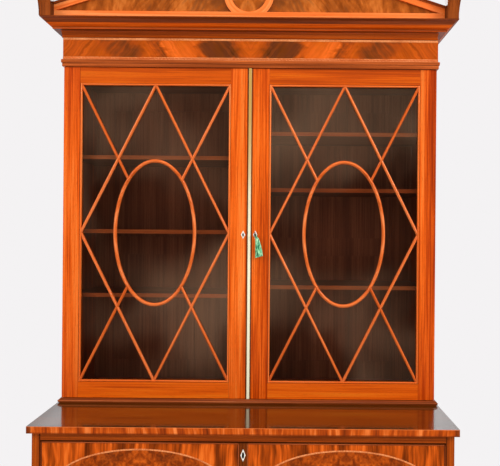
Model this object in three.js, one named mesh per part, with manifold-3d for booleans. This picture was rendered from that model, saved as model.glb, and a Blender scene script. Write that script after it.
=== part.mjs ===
import * as THREE from "three";
import { mergeVertices } from "three/addons/utils/BufferGeometryUtils.js";
import Module from "manifold-3d";

// A secretaire bookcase in two stages: a shallow glazed upper case with a low pediment stands
// on a deeper base that holds a writing drawer with a falling front, above a cupboard.
// Sizes are in millimetres. X runs to the right, Y to the back and Z up. Inside the cabinet group
// Y is zero on the front of the glass doors and Z is zero on the floor.

const wasm = await Module();
wasm.setup();

// Driving sizes of the whole
const caseWidth = 1100;
const baseHeight = 1005;
const ledgeDepth = 250;
const innerDepth = 290;
const backThickness = 10;
const touch = 0.3;
const overrun = 3;

// Base carcass
const baseSideThickness = 22;
const topBoardThickness = 18.3;
const topBoardSideOverhang = 11;
const topBoardFrontOverhang = 12;
const topRailHeight = 20.9;
const topRailDepth = 60;
const dustboardThickness = 20;
const baseBottomThickness = 20;

// Plinth with bracket feet
const plinthHeight = 110;
const plinthWall = 22;
const plinthProjection = 4;
const plinthBandProjection = 9;
const plinthBandHeight = 12;
const plinthBandSlope = 6;
const footWidth = 150;
const footToeHeight = 14;
const footCurveWidth = 52;
const apronHeight = 66;

// Writing drawer and its falling front
const fallHeight = 225;
const fallThickness = 22;
const fallTopGap = 2.3;
const fallBottomGap = 2;
const runningGap = 1;
const drawerRearRoom = 25.7;
const drawerSideThickness = 12;
const drawerBackThickness = 10;
const drawerHeadroom = 8;
const fittingsDepth = 200;
const fittingsBoard = 8;
const fittingsHeadroom = 19;
const fittingsCentreWidth = 260;
const fittingsSideCount = 3;
const knobPlateRadius = 15;
const knobPlateThickness = 3;
const knobStemRadius = 6;
const knobRadius = 14;
const knobProjection = 30;
const knobSpacing = 536;
const fallLozengeWidth = 13.5;
const fallLozengeHeight = 32;
const fallLozengeDrop = 32.5;

// Cupboard below the drawer
const cupboardDoorThickness = 20;
const cupboardDoorGap = 2;
const pivotPinRadius = 4;
const pivotPinInDoor = 16;
const pivotPinInRail = 12;
const turningClearance = 0.4;

// Upper case
const upperSideThickness = 18;
const upperBoardThickness = 18;
const waistHeight = 13.6;
const waistProjection = 9.5;
const waistFillet = 4;
const waistTopProjection = 2;
const doorBackGap = 1;
const partitionThickness = 14;
const partitionSetback = 40;
const shelfThickness = 12;
const shelfSetback = 60;
const shelfGroove = 4;
// Shares of the clear height at which the tops of the shelves and of the back's middle rail lie
const leftShelfShares = [0.3173, 0.5195, 0.754];
const rightShelfShares = [0.3465, 0.654, 0.8322];
const backRailShare = 0.4955;
const backRailWidth = 60;
const backStileWidth = 64;
const backPanelRecess = 3;

// Glass doors
const doorHeight = 975;
const doorThickness = 22;
const doorBottomGap = 1.4;
const doorTopGap = 1.3;
const outerStile = 47.8;
const meetingStile = 52;
const doorRail = 46.5;
const meetingGap = 0.7;
const stripWidth = 10;
const stripThickness = 3;
const glassRebate = 6.5;
const glassThickness = 3;
const sightBeadWidth = 5.6;
const sightBeadProud = 0.8;
const barWidth = 8.8;
const barFrontWidth = 4.4;
const barSetback = 0.8;
const barDepth = 8;
const barShoulder = 3;
const ovalBarWidth = 10.8;
const ovalBarFrontWidth = 5.4;
const ovalHalfWidth = 117.5;
const ovalHalfHeight = 212.8;
const ovalSteps = 44;

// Door hinges
const hingeLength = 64;
const hingeInset = 140;
const hingeLeafWidth = 15;
const hingeLeafThickness = 1.6;
const hingeKnuckleRadius = 4;
const hingePinRadius = 1.8;
const roundSides = 20;

// Lock, key, escutcheons and tassel
const keyDrop = 3.5;
const keyOffset = 18;
const lozengeWidth = 12.8;
const lozengeHeight = 24.8;
const lozengeThickness = 1.2;
const lozengeProud = 0.3;
const keyShankRadius = 2;
const keyShankOut = 15;
const keyBitLength = 6.3;
const keyBitWidth = 2.2;
const keyBitDepth = 5;
const keyBowRadius = 7.5;
const keyBowTube = 1.7;
const keyholeClearance = 1;
const camReach = 34;
const camWidth = 12;
const camThickness = 3;
const camHubRadius = 9.5;
const camBossRadius = 8.5;
const camBossDepth = 6;
const tasselLoopRadius = 4;
const tasselLoopTube = 0.8;
const tasselLoopPlace = 11;
const tasselCordLength = 5;
const tasselHeadRadius = 4.6;
const tasselNeckRadius = 3.2;
const tasselSkirtRadius = 11.5;
const tasselSkirtLength = 46;
const tasselFlatness = 0.55;

// Frieze, cornice and pediment
const friezeHeight = 85.2;
const friezeProud = 3;
const friezeWall = 28;
const beadHeight = 21.2;
const beadRebate = 6;
const beadUpperProud = 7.5;
const beadLowerProud = 5;
const beadRound = 1.5;
const corniceHeight = 46.5;
const corniceProjection = 54;
const corniceWall = 22;
const coveProjection = 8;
const coveHeight = 16.5;
const coronaProjection = 25;
const coronaHeight = 11;
const coronaStep = 4;
const corniceLip = 3;
const curveSteps = 6;
const pedimentSetback = 29;
const pedimentBandProud = 5.7;
const tympanumThickness = 18;
const baseBandHeight = 26.5;
const rakeStartInset = 9;
const rakeSlope = 0.325;
const rakeBandHeight = 17.9;
const rakeCapHeight = 7;
const rakeCapProud = 6;
const blockWidth = 33.7;
const blockHeight = 66;
const blockPointHeight = 9;

// Levels and planes that follow from them
const caseHalf = caseWidth / 2;
const backFace = innerDepth + backThickness;
const baseFront = topBoardFrontOverhang - ledgeDepth;
const baseInnerHalf = caseHalf - baseSideThickness;
const topBoardLow = baseHeight - topBoardThickness;
const railLow = topBoardLow - topRailHeight;
const fallHigh = railLow - fallTopGap;
const fallLow = fallHigh - fallHeight;
const dustHigh = fallLow - fallBottomGap;
const dustLow = dustHigh - dustboardThickness;
const bottomHigh = plinthHeight + baseBottomThickness;
const waistHigh = baseHeight + waistHeight;
const doorLow = waistHigh + doorBottomGap;
const doorHigh = doorLow + doorHeight;
const friezeLow = doorHigh + doorTopGap;
const friezeHigh = friezeLow + friezeHeight;
const corniceHigh = friezeHigh + corniceHeight;
const upperTopLow = friezeLow - upperBoardThickness;
const upperSideFront = doorThickness + doorBackGap;
const upperInnerHalf = caseHalf - upperSideThickness;
const leftShelfHeights = leftShelfShares.map(upperLevel);
const rightShelfHeights = rightShelfShares.map(upperLevel);
const keyHeight = (doorLow + doorHigh) / 2 - keyDrop;
const depthCentre = (baseFront - knobProjection + backFace) / 2;

// Colours and sheen of each kind of material
const mahogany = { color: 0xb4561c, roughness: 0.35, metalness: 0 };
const flameVeneer = { color: 0x9a4314, roughness: 0.3, metalness: 0 };
const darkMoulding = { color: 0x83330f, roughness: 0.35, metalness: 0 };
const satinwood = { color: 0xf08a48, roughness: 0.4, metalness: 0 };
const innerWood = { color: 0x7a4524, roughness: 0.6, metalness: 0 };
const brass = { color: 0xd8a763, roughness: 0.3, metalness: 1 };
const agedIron = { color: 0x3c3630, roughness: 0.5, metalness: 1 };
const ivory = { color: 0xf2e7cf, roughness: 0.4, metalness: 0 };
const greenSilk = { color: 0x4fae7d, roughness: 0.8, metalness: 0 };
const clearGlass = { color: 0x8a6a5a, roughness: 0.05, metalness: 0, transparent: true, opacity: 0.4 };

const cabinet = new THREE.Group();
cabinet.position.y = -depthCentre;

// A height in the upper case from its share of the clear height
function upperLevel(share) {
  return waistHigh + share * (upperTopLow - waistHigh);
}

function addPiece(name, geometry, finish, parent = cabinet) {
  const mesh = new THREE.Mesh(geometry, new THREE.MeshStandardMaterial(finish));
  mesh.name = name;
  parent.add(mesh);
  return mesh;
}

// The same piece on the left side, turned over about the middle of the cabinet
function addMirrored(name, geometry, finish, parent = cabinet) {
  const mesh = addPiece(name, geometry, finish, parent);
  mesh.scale.x = -1;
  return mesh;
}

function slab(xLow, xHigh, yLow, yHigh, zLow, zHigh) {
  const geometry = new THREE.BoxGeometry(xHigh - xLow, yHigh - yLow, zHigh - zLow);
  return geometry.translate((xLow + xHigh) / 2, (yLow + yHigh) / 2, (zLow + zHigh) / 2);
}

function outlineShape(points) {
  return new THREE.Shape(points.map(([u, v]) => new THREE.Vector2(u, v)));
}

// An outline drawn in the front elevation (x, z), as thick as yLow to yHigh
function frontBoard(points, yLow, yHigh, holes = []) {
  const shape = outlineShape(points);
  shape.holes = holes.map(outlineShape);
  const geometry = new THREE.ExtrudeGeometry(shape, { depth: yHigh - yLow, bevelEnabled: false });
  return geometry.rotateX(Math.PI / 2).translate(0, yHigh, 0);
}

// An outline drawn in the side elevation (y, z), as long as xLow to xHigh
function sideBoard(points, xLow, xHigh) {
  const shape = outlineShape(points);
  const geometry = new THREE.ExtrudeGeometry(shape, { depth: xHigh - xLow, bevelEnabled: false });
  const turn = new THREE.Matrix4().makeBasis(
    new THREE.Vector3(0, 1, 0),
    new THREE.Vector3(0, 0, 1),
    new THREE.Vector3(1, 0, 0),
  );
  return geometry.applyMatrix4(turn).translate(xLow, 0, 0);
}

// An outline drawn in plan (x, y), as tall as zLow to zHigh
function planBoard(points, zLow, zHigh) {
  const shape = outlineShape(points);
  const geometry = new THREE.ExtrudeGeometry(shape, { depth: zHigh - zLow, bevelEnabled: false });
  return geometry.translate(0, 0, zLow);
}

function uprightRod(x, y, radius, zLow, zHigh) {
  const geometry = new THREE.CylinderGeometry(radius, radius, zHigh - zLow, roundSides);
  return geometry.rotateX(Math.PI / 2).translate(x, y, (zLow + zHigh) / 2);
}

function levelRod(x, z, radius, yLow, yHigh) {
  const geometry = new THREE.CylinderGeometry(radius, radius, yHigh - yLow, roundSides);
  return geometry.translate(x, (yLow + yHigh) / 2, z);
}

function arcPoints(centreU, centreV, radius, fromAngle, toAngle, steps) {
  const points = [];
  for (let step = 0; step <= steps; step += 1) {
    const angle = fromAngle + ((toAngle - fromAngle) * step) / steps;
    points.push([centreU + radius * Math.cos(angle), centreV + radius * Math.sin(angle)]);
  }
  return points;
}

function toSolid(geometry) {
  const plain = geometry.clone();
  plain.deleteAttribute("normal");
  plain.deleteAttribute("uv");
  const merged = mergeVertices(plain);
  const mesh = new wasm.Mesh({
    numProp: 3,
    vertProperties: new Float32Array(merged.attributes.position.array),
    triVerts: new Uint32Array(merged.index.array),
  });
  return new wasm.Manifold(mesh);
}

function toGeometry(solid) {
  const mesh = solid.getMesh();
  const geometry = new THREE.BufferGeometry();
  geometry.setAttribute("position", new THREE.BufferAttribute(new Float32Array(mesh.vertProperties), 3));
  geometry.setIndex(new THREE.BufferAttribute(new Uint32Array(mesh.triVerts), 1));
  return geometry;
}

function cut(body, ...tools) {
  return toGeometry(tools.reduce((rest, tool) => rest.subtract(toSolid(tool)), toSolid(body)));
}

function join(first, ...others) {
  return toGeometry(others.reduce((sum, other) => sum.add(toSolid(other)), toSolid(first)));
}

function keep(body, room) {
  return toGeometry(toSolid(body).intersect(toSolid(room)));
}

function signedVolume(positions, indices) {
  const a = new THREE.Vector3();
  const b = new THREE.Vector3();
  const c = new THREE.Vector3();
  let total = 0;
  for (let i = 0; i < indices.length; i += 3) {
    a.fromArray(positions, indices[i] * 3);
    b.fromArray(positions, indices[i + 1] * 3);
    c.fromArray(positions, indices[i + 2] * 3);
    total += a.dot(b.cross(c));
  }
  return total;
}

// Carries a section along stations in a plane. A station is a place with the direction in which
// the section's first measure points, already lengthened for a mitre; the second measure is height.
function carrySection(section, stations, closed) {
  const positions = [];
  for (const { u, v, du, dv } of stations) {
    for (const [across, height] of section) {
      positions.push(u + du * across, v + dv * across, height);
    }
  }
  const sides = section.length;
  const indices = [];
  const spans = closed ? stations.length : stations.length - 1;
  for (let span = 0; span < spans; span += 1) {
    const here = span * sides;
    const there = ((span + 1) % stations.length) * sides;
    for (let side = 0; side < sides; side += 1) {
      const next = (side + 1) % sides;
      indices.push(here + side, there + side, there + next, here + side, there + next, here + next);
    }
  }
  if (!closed) {
    const contour = section.map(([across, height]) => new THREE.Vector2(across, height));
    const last = (stations.length - 1) * sides;
    const triangles = THREE.ShapeUtils.triangulateShape(contour, []);
    const area = (corners) => THREE.ShapeUtils.area(corners.map((corner) => contour[corner]));
    const capArea = triangles.reduce((sum, corners) => sum + area(corners), 0);
    const turned = capArea * THREE.ShapeUtils.area(contour) < 0;
    for (const [a, b, c] of triangles) {
      const [p, q] = turned ? [c, b] : [b, c];
      indices.push(a, p, q, last + a, last + q, last + p);
    }
  }
  if (signedVolume(positions, indices) < 0) {
    indices.reverse();
  }
  const geometry = new THREE.BufferGeometry();
  geometry.setAttribute("position", new THREE.Float32BufferAttribute(positions, 3));
  geometry.setIndex(indices);
  return geometry;
}

// A moulding mitred round the front and the two sides of the upper or lower case
function wrapMoulding(section, front) {
  const stations = [
    { u: -caseHalf, v: backFace, du: -1, dv: 0 },
    { u: -caseHalf, v: front, du: -1, dv: -1 },
    { u: caseHalf, v: front, du: 1, dv: -1 },
    { u: caseHalf, v: backFace, du: 1, dv: 0 },
  ];
  return carrySection(section, stations, false);
}

// Rings that lie in the front elevation: their section runs across the bar and out to the front
function elevationRing(section, stations) {
  return carrySection(section, stations, true).rotateX(Math.PI / 2);
}

function addBase() {
  const sideLow = plinthHeight + touch;
  const sideHigh = topBoardLow - touch;
  const side = slab(baseInnerHalf, caseHalf, baseFront, backFace, sideLow, sideHigh);
  addPiece("base_side_right", side, mahogany);
  addMirrored("base_side_left", side, mahogany);

  const fitHalf = baseInnerHalf - touch;
  const boardBack = innerDepth - touch;
  const pins = [1, -1].map((hand) => hand * cupboardPinPlace().x);
  const holes = pins.map((x) => uprightRod(
    x, cupboardPinPlace().y, pivotPinRadius + turningClearance,
    bottomHigh - pivotPinInRail - touch, bottomHigh + overrun,
  ));
  const bottom = slab(-fitHalf, fitHalf, baseFront, boardBack, sideLow, bottomHigh);
  addPiece("base_bottom", cut(bottom, ...holes), mahogany);

  const upperHoles = pins.map((x) => uprightRod(
    x, cupboardPinPlace().y, pivotPinRadius + turningClearance,
    dustLow - overrun, dustLow + pivotPinInRail + touch,
  ));
  const dustboard = slab(-fitHalf, fitHalf, baseFront, boardBack, dustLow, dustHigh);
  addPiece("dustboard", cut(dustboard, ...upperHoles), mahogany);

  const rail = slab(-fitHalf, fitHalf, baseFront, baseFront + topRailDepth, railLow, sideHigh);
  addPiece("top_rail", rail, mahogany);
  addPiece("base_back", slab(-fitHalf, fitHalf, innerDepth, backFace, sideLow, sideHigh), innerWood);

  const boardHalf = caseHalf + topBoardSideOverhang;
  const topBoard = slab(-boardHalf, boardHalf, -ledgeDepth, backFace, topBoardLow, baseHeight);
  addPiece("base_top", topBoard, mahogany);
}

function addPlinth() {
  const bandLow = plinthHeight - plinthBandHeight;
  const section = [
    [-plinthWall, 0],
    [plinthProjection, 0],
    [plinthProjection, bandLow - plinthBandSlope],
    [plinthBandProjection, bandLow],
    [plinthBandProjection, plinthHeight - touch],
    [-plinthWall, plinthHeight - touch],
  ];
  const frontHalf = caseHalf + plinthProjection - footWidth;
  const frontCut = frontBoard(
    footOutline(-frontHalf, frontHalf),
    baseFront - plinthBandProjection - overrun,
    baseFront + plinthWall + overrun,
  );
  const sideNear = baseFront - plinthProjection + footWidth;
  const sideReach = caseHalf + plinthBandProjection + overrun;
  const sideCut = sideBoard(footOutline(sideNear, backFace - footWidth), -sideReach, sideReach);
  addPiece("plinth", cut(wrapMoulding(section, baseFront), frontCut, sideCut), mahogany);
}

// The space between two bracket feet, with a curved inner edge on each foot
function footOutline(low, high) {
  const rise = apronHeight - footToeHeight;
  const curve = (from, sign) => {
    const points = [];
    for (let step = 0; step <= curveSteps; step += 1) {
      const share = step / curveSteps;
      const height = footToeHeight + rise * Math.sin((share * Math.PI) / 2);
      points.push([from + sign * footCurveWidth * share, height]);
    }
    return points;
  };
  const left = curve(low, 1);
  const right = curve(high, -1).reverse();
  return [[low, -overrun], ...left, ...right, [high, -overrun]].reverse();
}

function addWritingDrawer() {
  const frontHalf = baseInnerHalf - runningGap;
  const fallBack = baseFront + fallThickness;
  const edgeRadius = fallThickness / 2;
  const edge = arcPoints(
    baseFront + edgeRadius, fallLow + edgeRadius, edgeRadius, Math.PI, 2 * Math.PI, 2 * curveSteps,
  );
  const lozengeMiddle = fallHigh - fallLozengeDrop;
  const board = sideBoard([...edge, [fallBack, fallHigh], [baseFront, fallHigh]], -frontHalf, frontHalf);
  const recess = lozenge(0, lozengeMiddle, fallLozengeWidth + 2 * touch, fallLozengeHeight + 2 * touch,
    baseFront - overrun, baseFront + lozengeThickness);
  addPiece("writing_fall", cut(board, recess), flameVeneer);
  addPiece("fall_escutcheon", lozenge(0, lozengeMiddle, fallLozengeWidth, fallLozengeHeight,
    baseFront - lozengeProud, baseFront + lozengeThickness - touch), ivory);

  const knob = knobGeometry();
  const knobHeight = (fallLow + fallHigh) / 2;
  for (const [name, x] of [["knob_left", -knobSpacing / 2], ["knob_right", knobSpacing / 2]]) {
    const mesh = addPiece(name, knob, brass);
    mesh.position.set(x, baseFront - touch, knobHeight);
  }

  const boxHalf = frontHalf - runningGap;
  const boxFront = fallBack + touch;
  const boxBack = innerDepth - drawerRearRoom;
  const boxHigh = railLow - drawerHeadroom;
  const writingLevel = fallLow + fallThickness;
  const innerHalf = boxHalf - drawerSideThickness;
  const box = slab(-boxHalf, boxHalf, boxFront, boxBack, dustHigh + touch, boxHigh);
  const hollow = slab(-innerHalf, innerHalf, boxFront - overrun, boxBack - drawerBackThickness,
    writingLevel, boxHigh + overrun);
  addPiece("writing_drawer", cut(box, hollow), innerWood);

  const fitHalf = innerHalf - touch;
  const fitBack = boxBack - drawerBackThickness - touch;
  const fitFront = fitBack - fittingsDepth;
  const fitLow = writingLevel + touch;
  const fitHigh = railLow - fittingsHeadroom;
  const block = slab(-fitHalf, fitHalf, fitFront, fitBack, fitLow, fitHigh);
  const compartments = pigeonholeSpans(fitHalf).map(([low, high]) => slab(
    low, high, fitFront - overrun, fitBack - fittingsBoard, fitLow + fittingsBoard, fitHigh - fittingsBoard,
  ));
  addPiece("pigeonholes", cut(block, ...compartments), satinwood);
}

// The clear widths of the pigeonholes: a wide one in the middle and narrow ones on both sides
function pigeonholeSpans(half) {
  const centreHalf = fittingsCentreWidth / 2;
  const pitch = (half - centreHalf - fittingsBoard) / fittingsSideCount;
  const spans = [[-centreHalf, centreHalf]];
  for (let index = 0; index < fittingsSideCount; index += 1) {
    const low = centreHalf + fittingsBoard + index * pitch;
    const high = low + pitch - fittingsBoard;
    spans.push([low, high], [-high, -low]);
  }
  return spans;
}

function lozenge(x, z, width, height, yLow, yHigh) {
  return frontBoard([
    [x - width / 2, z],
    [x, z - height / 2],
    [x + width / 2, z],
    [x, z + height / 2],
  ], yLow, yHigh);
}

function knobGeometry() {
  const ballCentre = knobProjection - touch - knobRadius;
  const stemAngle = Math.asin(knobStemRadius / knobRadius);
  const ball = arcPoints(0, ballCentre, knobRadius, -Math.PI / 2 + stemAngle, Math.PI / 2, curveSteps);
  const profile = [[0, 0], [knobPlateRadius, 0], [knobPlateRadius, knobPlateThickness / 2],
    [knobStemRadius, knobPlateThickness], ...ball];
  profile[profile.length - 1][0] = 0;
  const points = profile.map(([radius, out]) => new THREE.Vector2(radius, out));
  return new THREE.LatheGeometry(points, roundSides).rotateX(Math.PI);
}

function cupboardPinPlace() {
  const edgeRadius = cupboardDoorThickness / 2;
  return { x: baseInnerHalf - runningGap - edgeRadius, y: baseFront + edgeRadius };
}

function addCupboardDoors() {
  const low = bottomHigh + cupboardDoorGap;
  const high = dustLow - cupboardDoorGap;
  const { x, y } = cupboardPinPlace();
  const free = cupboardDoorGap / 2;
  const edge = arcPoints(x, y, cupboardDoorThickness / 2, -Math.PI / 2, Math.PI / 2, 2 * curveSteps);
  const board = planBoard([[free, y + cupboardDoorThickness / 2], [free, baseFront], ...edge], low, high);
  const holeRadius = pivotPinRadius + touch;
  const door = cut(
    board,
    uprightRod(x, y, holeRadius, low - overrun, low + pivotPinInDoor),
    uprightRod(x, y, holeRadius, high - pivotPinInDoor, high + overrun),
  );
  addPiece("cupboard_door_right", door, flameVeneer);
  addMirrored("cupboard_door_left", door, flameVeneer);

  const pinHigh = low + pivotPinInDoor - touch;
  const lowPin = uprightRod(x, y, pivotPinRadius, bottomHigh - pivotPinInRail, pinHigh);
  const pinLow = high - pivotPinInDoor + touch;
  const highPin = uprightRod(x, y, pivotPinRadius, pinLow, dustLow + pivotPinInRail);
  addPiece("cupboard_pin_low_right", lowPin, brass);
  addMirrored("cupboard_pin_low_left", lowPin, brass);
  addPiece("cupboard_pin_high_right", highPin, brass);
  addMirrored("cupboard_pin_high_left", highPin, brass);
}

function addUpperCase() {
  const waistRound = waistProjection - waistTopProjection - touch;
  const waist = [
    [0, touch],
    [waistProjection, touch],
    [waistProjection, waistFillet],
    ...arcPoints(waistTopProjection, waistFillet, waistRound, 0, Math.PI / 2, curveSteps),
    [waistTopProjection, waistHeight],
    [0, waistHeight],
  ];
  addPiece("waist_moulding", wrapMoulding(waist, 0).translate(0, 0, baseHeight), darkMoulding);

  const boardHalf = caseHalf - touch;
  const bottom = slab(-boardHalf, boardHalf, touch, backFace, baseHeight + touch, waistHigh);
  addPiece("upper_bottom", bottom, mahogany);
  const top = slab(-boardHalf, boardHalf, upperSideFront, backFace, upperTopLow, friezeLow - touch);
  addPiece("upper_top", top, mahogany);

  const sideLow = waistHigh + touch;
  const sideHigh = upperTopLow - touch;
  const side = (heights) => cut(
    slab(upperInnerHalf, caseHalf, upperSideFront, backFace, sideLow, sideHigh),
    ...heights.map((height) => shelfGrooveTool(upperInnerHalf, upperInnerHalf + shelfGroove, height)),
    ...hingeReliefs(),
  );
  addPiece("upper_side_right", side(rightShelfHeights), mahogany);
  addMirrored("upper_side_left", side(leftShelfHeights), mahogany);

  const partitionHalf = partitionThickness / 2;
  const boardBack = innerDepth - touch;
  const partition = slab(-partitionHalf, partitionHalf, partitionSetback, boardBack, sideLow, sideHigh);
  const grooveStart = partitionHalf - shelfGroove;
  addPiece("upper_partition", cut(
    partition,
    ...rightShelfHeights.map((height) => shelfGrooveTool(partitionHalf, grooveStart, height)),
    ...leftShelfHeights.map((height) => shelfGrooveTool(-partitionHalf, -grooveStart, height)),
  ), innerWood);

  const shelf = (height) => slab(
    grooveStart + touch, upperInnerHalf + shelfGroove - touch, shelfSetback, boardBack,
    height - shelfThickness, height,
  );
  const levels = ["low", "middle", "high"];
  levels.forEach((level, index) => {
    addPiece(`shelf_right_${level}`, shelf(rightShelfHeights[index]), innerWood);
    addMirrored(`shelf_left_${level}`, shelf(leftShelfHeights[index]), innerWood);
  });

  const backHalf = upperInnerHalf - touch;
  const framed = slab(-backHalf, backHalf, innerDepth, backFace, sideLow, sideHigh);
  const panelHalf = backHalf - backStileWidth;
  const middleHalf = backStileWidth / 2;
  const railHigh = upperLevel(backRailShare);
  const panels = [
    [sideLow + backRailWidth, railHigh - backRailWidth],
    [railHigh, sideHigh - backRailWidth],
  ].flatMap(([low, high]) => [[middleHalf, panelHalf], [-panelHalf, -middleHalf]].map(([from, to]) => slab(
    from, to, innerDepth - overrun, innerDepth + backPanelRecess, low, high,
  )));
  addPiece("upper_back", cut(framed, ...panels), innerWood);
}

// The groove for a shelf, from its open mouth to its bottom, with room for the shelf all round
function shelfGrooveTool(mouth, bottom, height) {
  const open = mouth + Math.sign(mouth - bottom) * overrun;
  return slab(Math.min(open, bottom), Math.max(open, bottom), shelfSetback - touch, innerDepth + touch,
    height - shelfThickness - touch, height + touch);
}

// Heights of the middles of the two hinges of a door
function hingeHeights() {
  return [doorLow + hingeInset, doorHigh - hingeInset];
}

function hingeAxisDepth() {
  return doorThickness + doorBackGap / 2;
}

// Room for the knuckles in the door and the side, and the beds of the leaves
function hingeReliefs() {
  return hingeHeights().flatMap((middle) => {
    const low = middle - hingeLength / 2 - turningClearance;
    const high = middle + hingeLength / 2 + turningClearance;
    const bed = hingeLeafThickness + touch;
    return [
      uprightRod(caseHalf, hingeAxisDepth(), hingeKnuckleRadius + turningClearance, low, high),
      slab(
        caseHalf - hingeLeafWidth - touch, caseHalf + overrun,
        doorThickness - bed, upperSideFront + bed, low, high,
      ),
    ];
  });
}

function addHinges(doorGroups) {
  const axis = hingeAxisDepth();
  const third = hingeLength / 3;
  const inner = caseHalf - hingeLeafWidth;
  hingeHeights().forEach((middle, index) => {
    const level = index === 0 ? "low" : "high";
    const low = middle - hingeLength / 2;
    const high = middle + hingeLength / 2;
    const knuckle = (from, to) => uprightRod(caseHalf, axis, hingeKnuckleRadius, from, to);
    const room = (from, to) => uprightRod(
      caseHalf, axis, hingeKnuckleRadius + touch, from - touch, to + touch,
    );
    const casePlate = cut(
      slab(inner, caseHalf, upperSideFront, upperSideFront + hingeLeafThickness, low, high),
      room(low + third, high - third),
    );
    const caseLeaf = join(
      casePlate,
      knuckle(low, low + third),
      knuckle(high - third, high),
      uprightRod(caseHalf, axis, hingePinRadius, low, high),
    );
    const doorPlate = cut(
      slab(inner, caseHalf, doorThickness - hingeLeafThickness, doorThickness, low, high),
      room(low - touch, low + third),
      room(high - third, high + touch),
    );
    const doorLeaf = cut(
      join(doorPlate, knuckle(low + third + touch, high - third - touch)),
      uprightRod(caseHalf, axis, hingePinRadius + touch, low, high),
    );
    addPiece(`hinge_case_${level}_right`, caseLeaf, brass);
    addMirrored(`hinge_case_${level}_left`, caseLeaf, brass);
    addPiece(`hinge_door_${level}_right`, doorLeaf, brass, doorGroups.right);
    addMirrored(`hinge_door_${level}_left`, doorLeaf, brass, doorGroups.left);
  });
}

// The section of a glazing bar: flat at the back, narrowing to its front, which faces -Y
function barSection(width, frontWidth, front) {
  const back = -(barSetback + barDepth);
  const shoulder = -front - barShoulder;
  return [
    [-width / 2, back],
    [width / 2, back],
    [width / 2, shoulder],
    [frontWidth / 2, -front],
    [-frontWidth / 2, -front],
    [-width / 2, shoulder],
  ];
}

function straightBar(from, to) {
  const start = new THREE.Vector3(from[0], 0, from[1]);
  const along = new THREE.Vector3(to[0] - from[0], 0, to[1] - from[1]);
  const length = along.length();
  along.normalize();
  const out = new THREE.Vector3(0, -1, 0);
  const across = new THREE.Vector3().crossVectors(out, along);
  const section = outlineShape(barSection(barWidth, barFrontWidth, barSetback));
  const geometry = new THREE.ExtrudeGeometry(section, { depth: length, bevelEnabled: false });
  const place = new THREE.Matrix4().makeBasis(across, out, along).setPosition(start);
  return geometry.applyMatrix4(place);
}

// Sight bead, straight bars and oval of one door, all worked in one light wood
function glazingBars() {
  const sight = doorOpening();
  const middleX = (sight.xLow + sight.xHigh) / 2;
  const middleZ = (sight.zLow + sight.zHigh) / 2;
  const halfX = (sight.xHigh - sight.xLow) / 2 - touch - sightBeadWidth / 2;
  const halfZ = (sight.zHigh - sight.zLow) / 2 - touch - sightBeadWidth / 2;
  const bead = elevationRing(barSection(sightBeadWidth, sightBeadWidth / 2, -sightBeadProud), [
    { u: -halfX, v: -halfZ, du: -1, dv: -1 },
    { u: halfX, v: -halfZ, du: 1, dv: -1 },
    { u: halfX, v: halfZ, du: 1, dv: 1 },
    { u: -halfX, v: halfZ, du: -1, dv: 1 },
  ]);
  const stations = [];
  for (let step = 0; step < ovalSteps; step += 1) {
    const angle = (2 * Math.PI * step) / ovalSteps;
    const across = Math.cos(angle);
    const up = Math.sin(angle);
    const normal = new THREE.Vector2(across / ovalHalfWidth, up / ovalHalfHeight).normalize();
    stations.push({ u: ovalHalfWidth * across, v: ovalHalfHeight * up, du: normal.x, dv: normal.y });
  }
  const oval = elevationRing(barSection(ovalBarWidth, ovalBarFrontWidth, barSetback), stations);
  const slope = halfZ / halfX;
  const meetX = 1 / Math.hypot(1 / ovalHalfWidth, slope / ovalHalfHeight);
  const bars = [1, -1].flatMap((right) => [1, -1].flatMap((up) => [
    straightBar([right * halfX, up * halfZ], [right * meetX, up * slope * meetX]),
    straightBar([0, up * halfZ], [right * halfX, 0]),
  ]));
  const reachX = halfX + sightBeadWidth / 2;
  const reachZ = halfZ + sightBeadWidth / 2;
  const field = slab(-reachX, reachX, -overrun, doorThickness, -reachZ, reachZ);
  return join(bead, oval, ...bars.map((bar) => keep(bar, field))).translate(middleX, 0, middleZ);
}

// The clear opening of the right-hand door's frame
function doorOpening() {
  return {
    xLow: stripWidth / 2 + meetingStile,
    xHigh: caseHalf - outerStile,
    zLow: doorLow + doorRail,
    zHigh: doorHigh - doorRail,
  };
}

function doorFrame(meetingEdge, ...cuts) {
  const sight = doorOpening();
  const rebateFront = barSetback + barDepth + touch;
  return cut(
    slab(meetingEdge, caseHalf, 0, doorThickness, doorLow, doorHigh),
    slab(sight.xLow, sight.xHigh, -overrun, doorThickness + overrun, sight.zLow, sight.zHigh),
    slab(sight.xLow - glassRebate, sight.xHigh + glassRebate, rebateFront, doorThickness + overrun,
      sight.zLow - glassRebate, sight.zHigh + glassRebate),
    lozenge(keyOffset, keyHeight, lozengeWidth + 2 * touch, lozengeHeight + 2 * touch,
      -overrun, lozengeThickness),
    ...hingeReliefs(),
    ...cuts,
  );
}

function glassPane() {
  const sight = doorOpening();
  const edge = glassRebate - touch;
  const front = barSetback + barDepth + 2 * touch;
  return slab(sight.xLow - edge, sight.xHigh + edge, front, front + glassThickness,
    sight.zLow - edge, sight.zHigh + edge);
}

function escutcheon() {
  return lozenge(keyOffset, keyHeight, lozengeWidth, lozengeHeight, -lozengeProud, lozengeThickness - touch);
}

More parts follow.
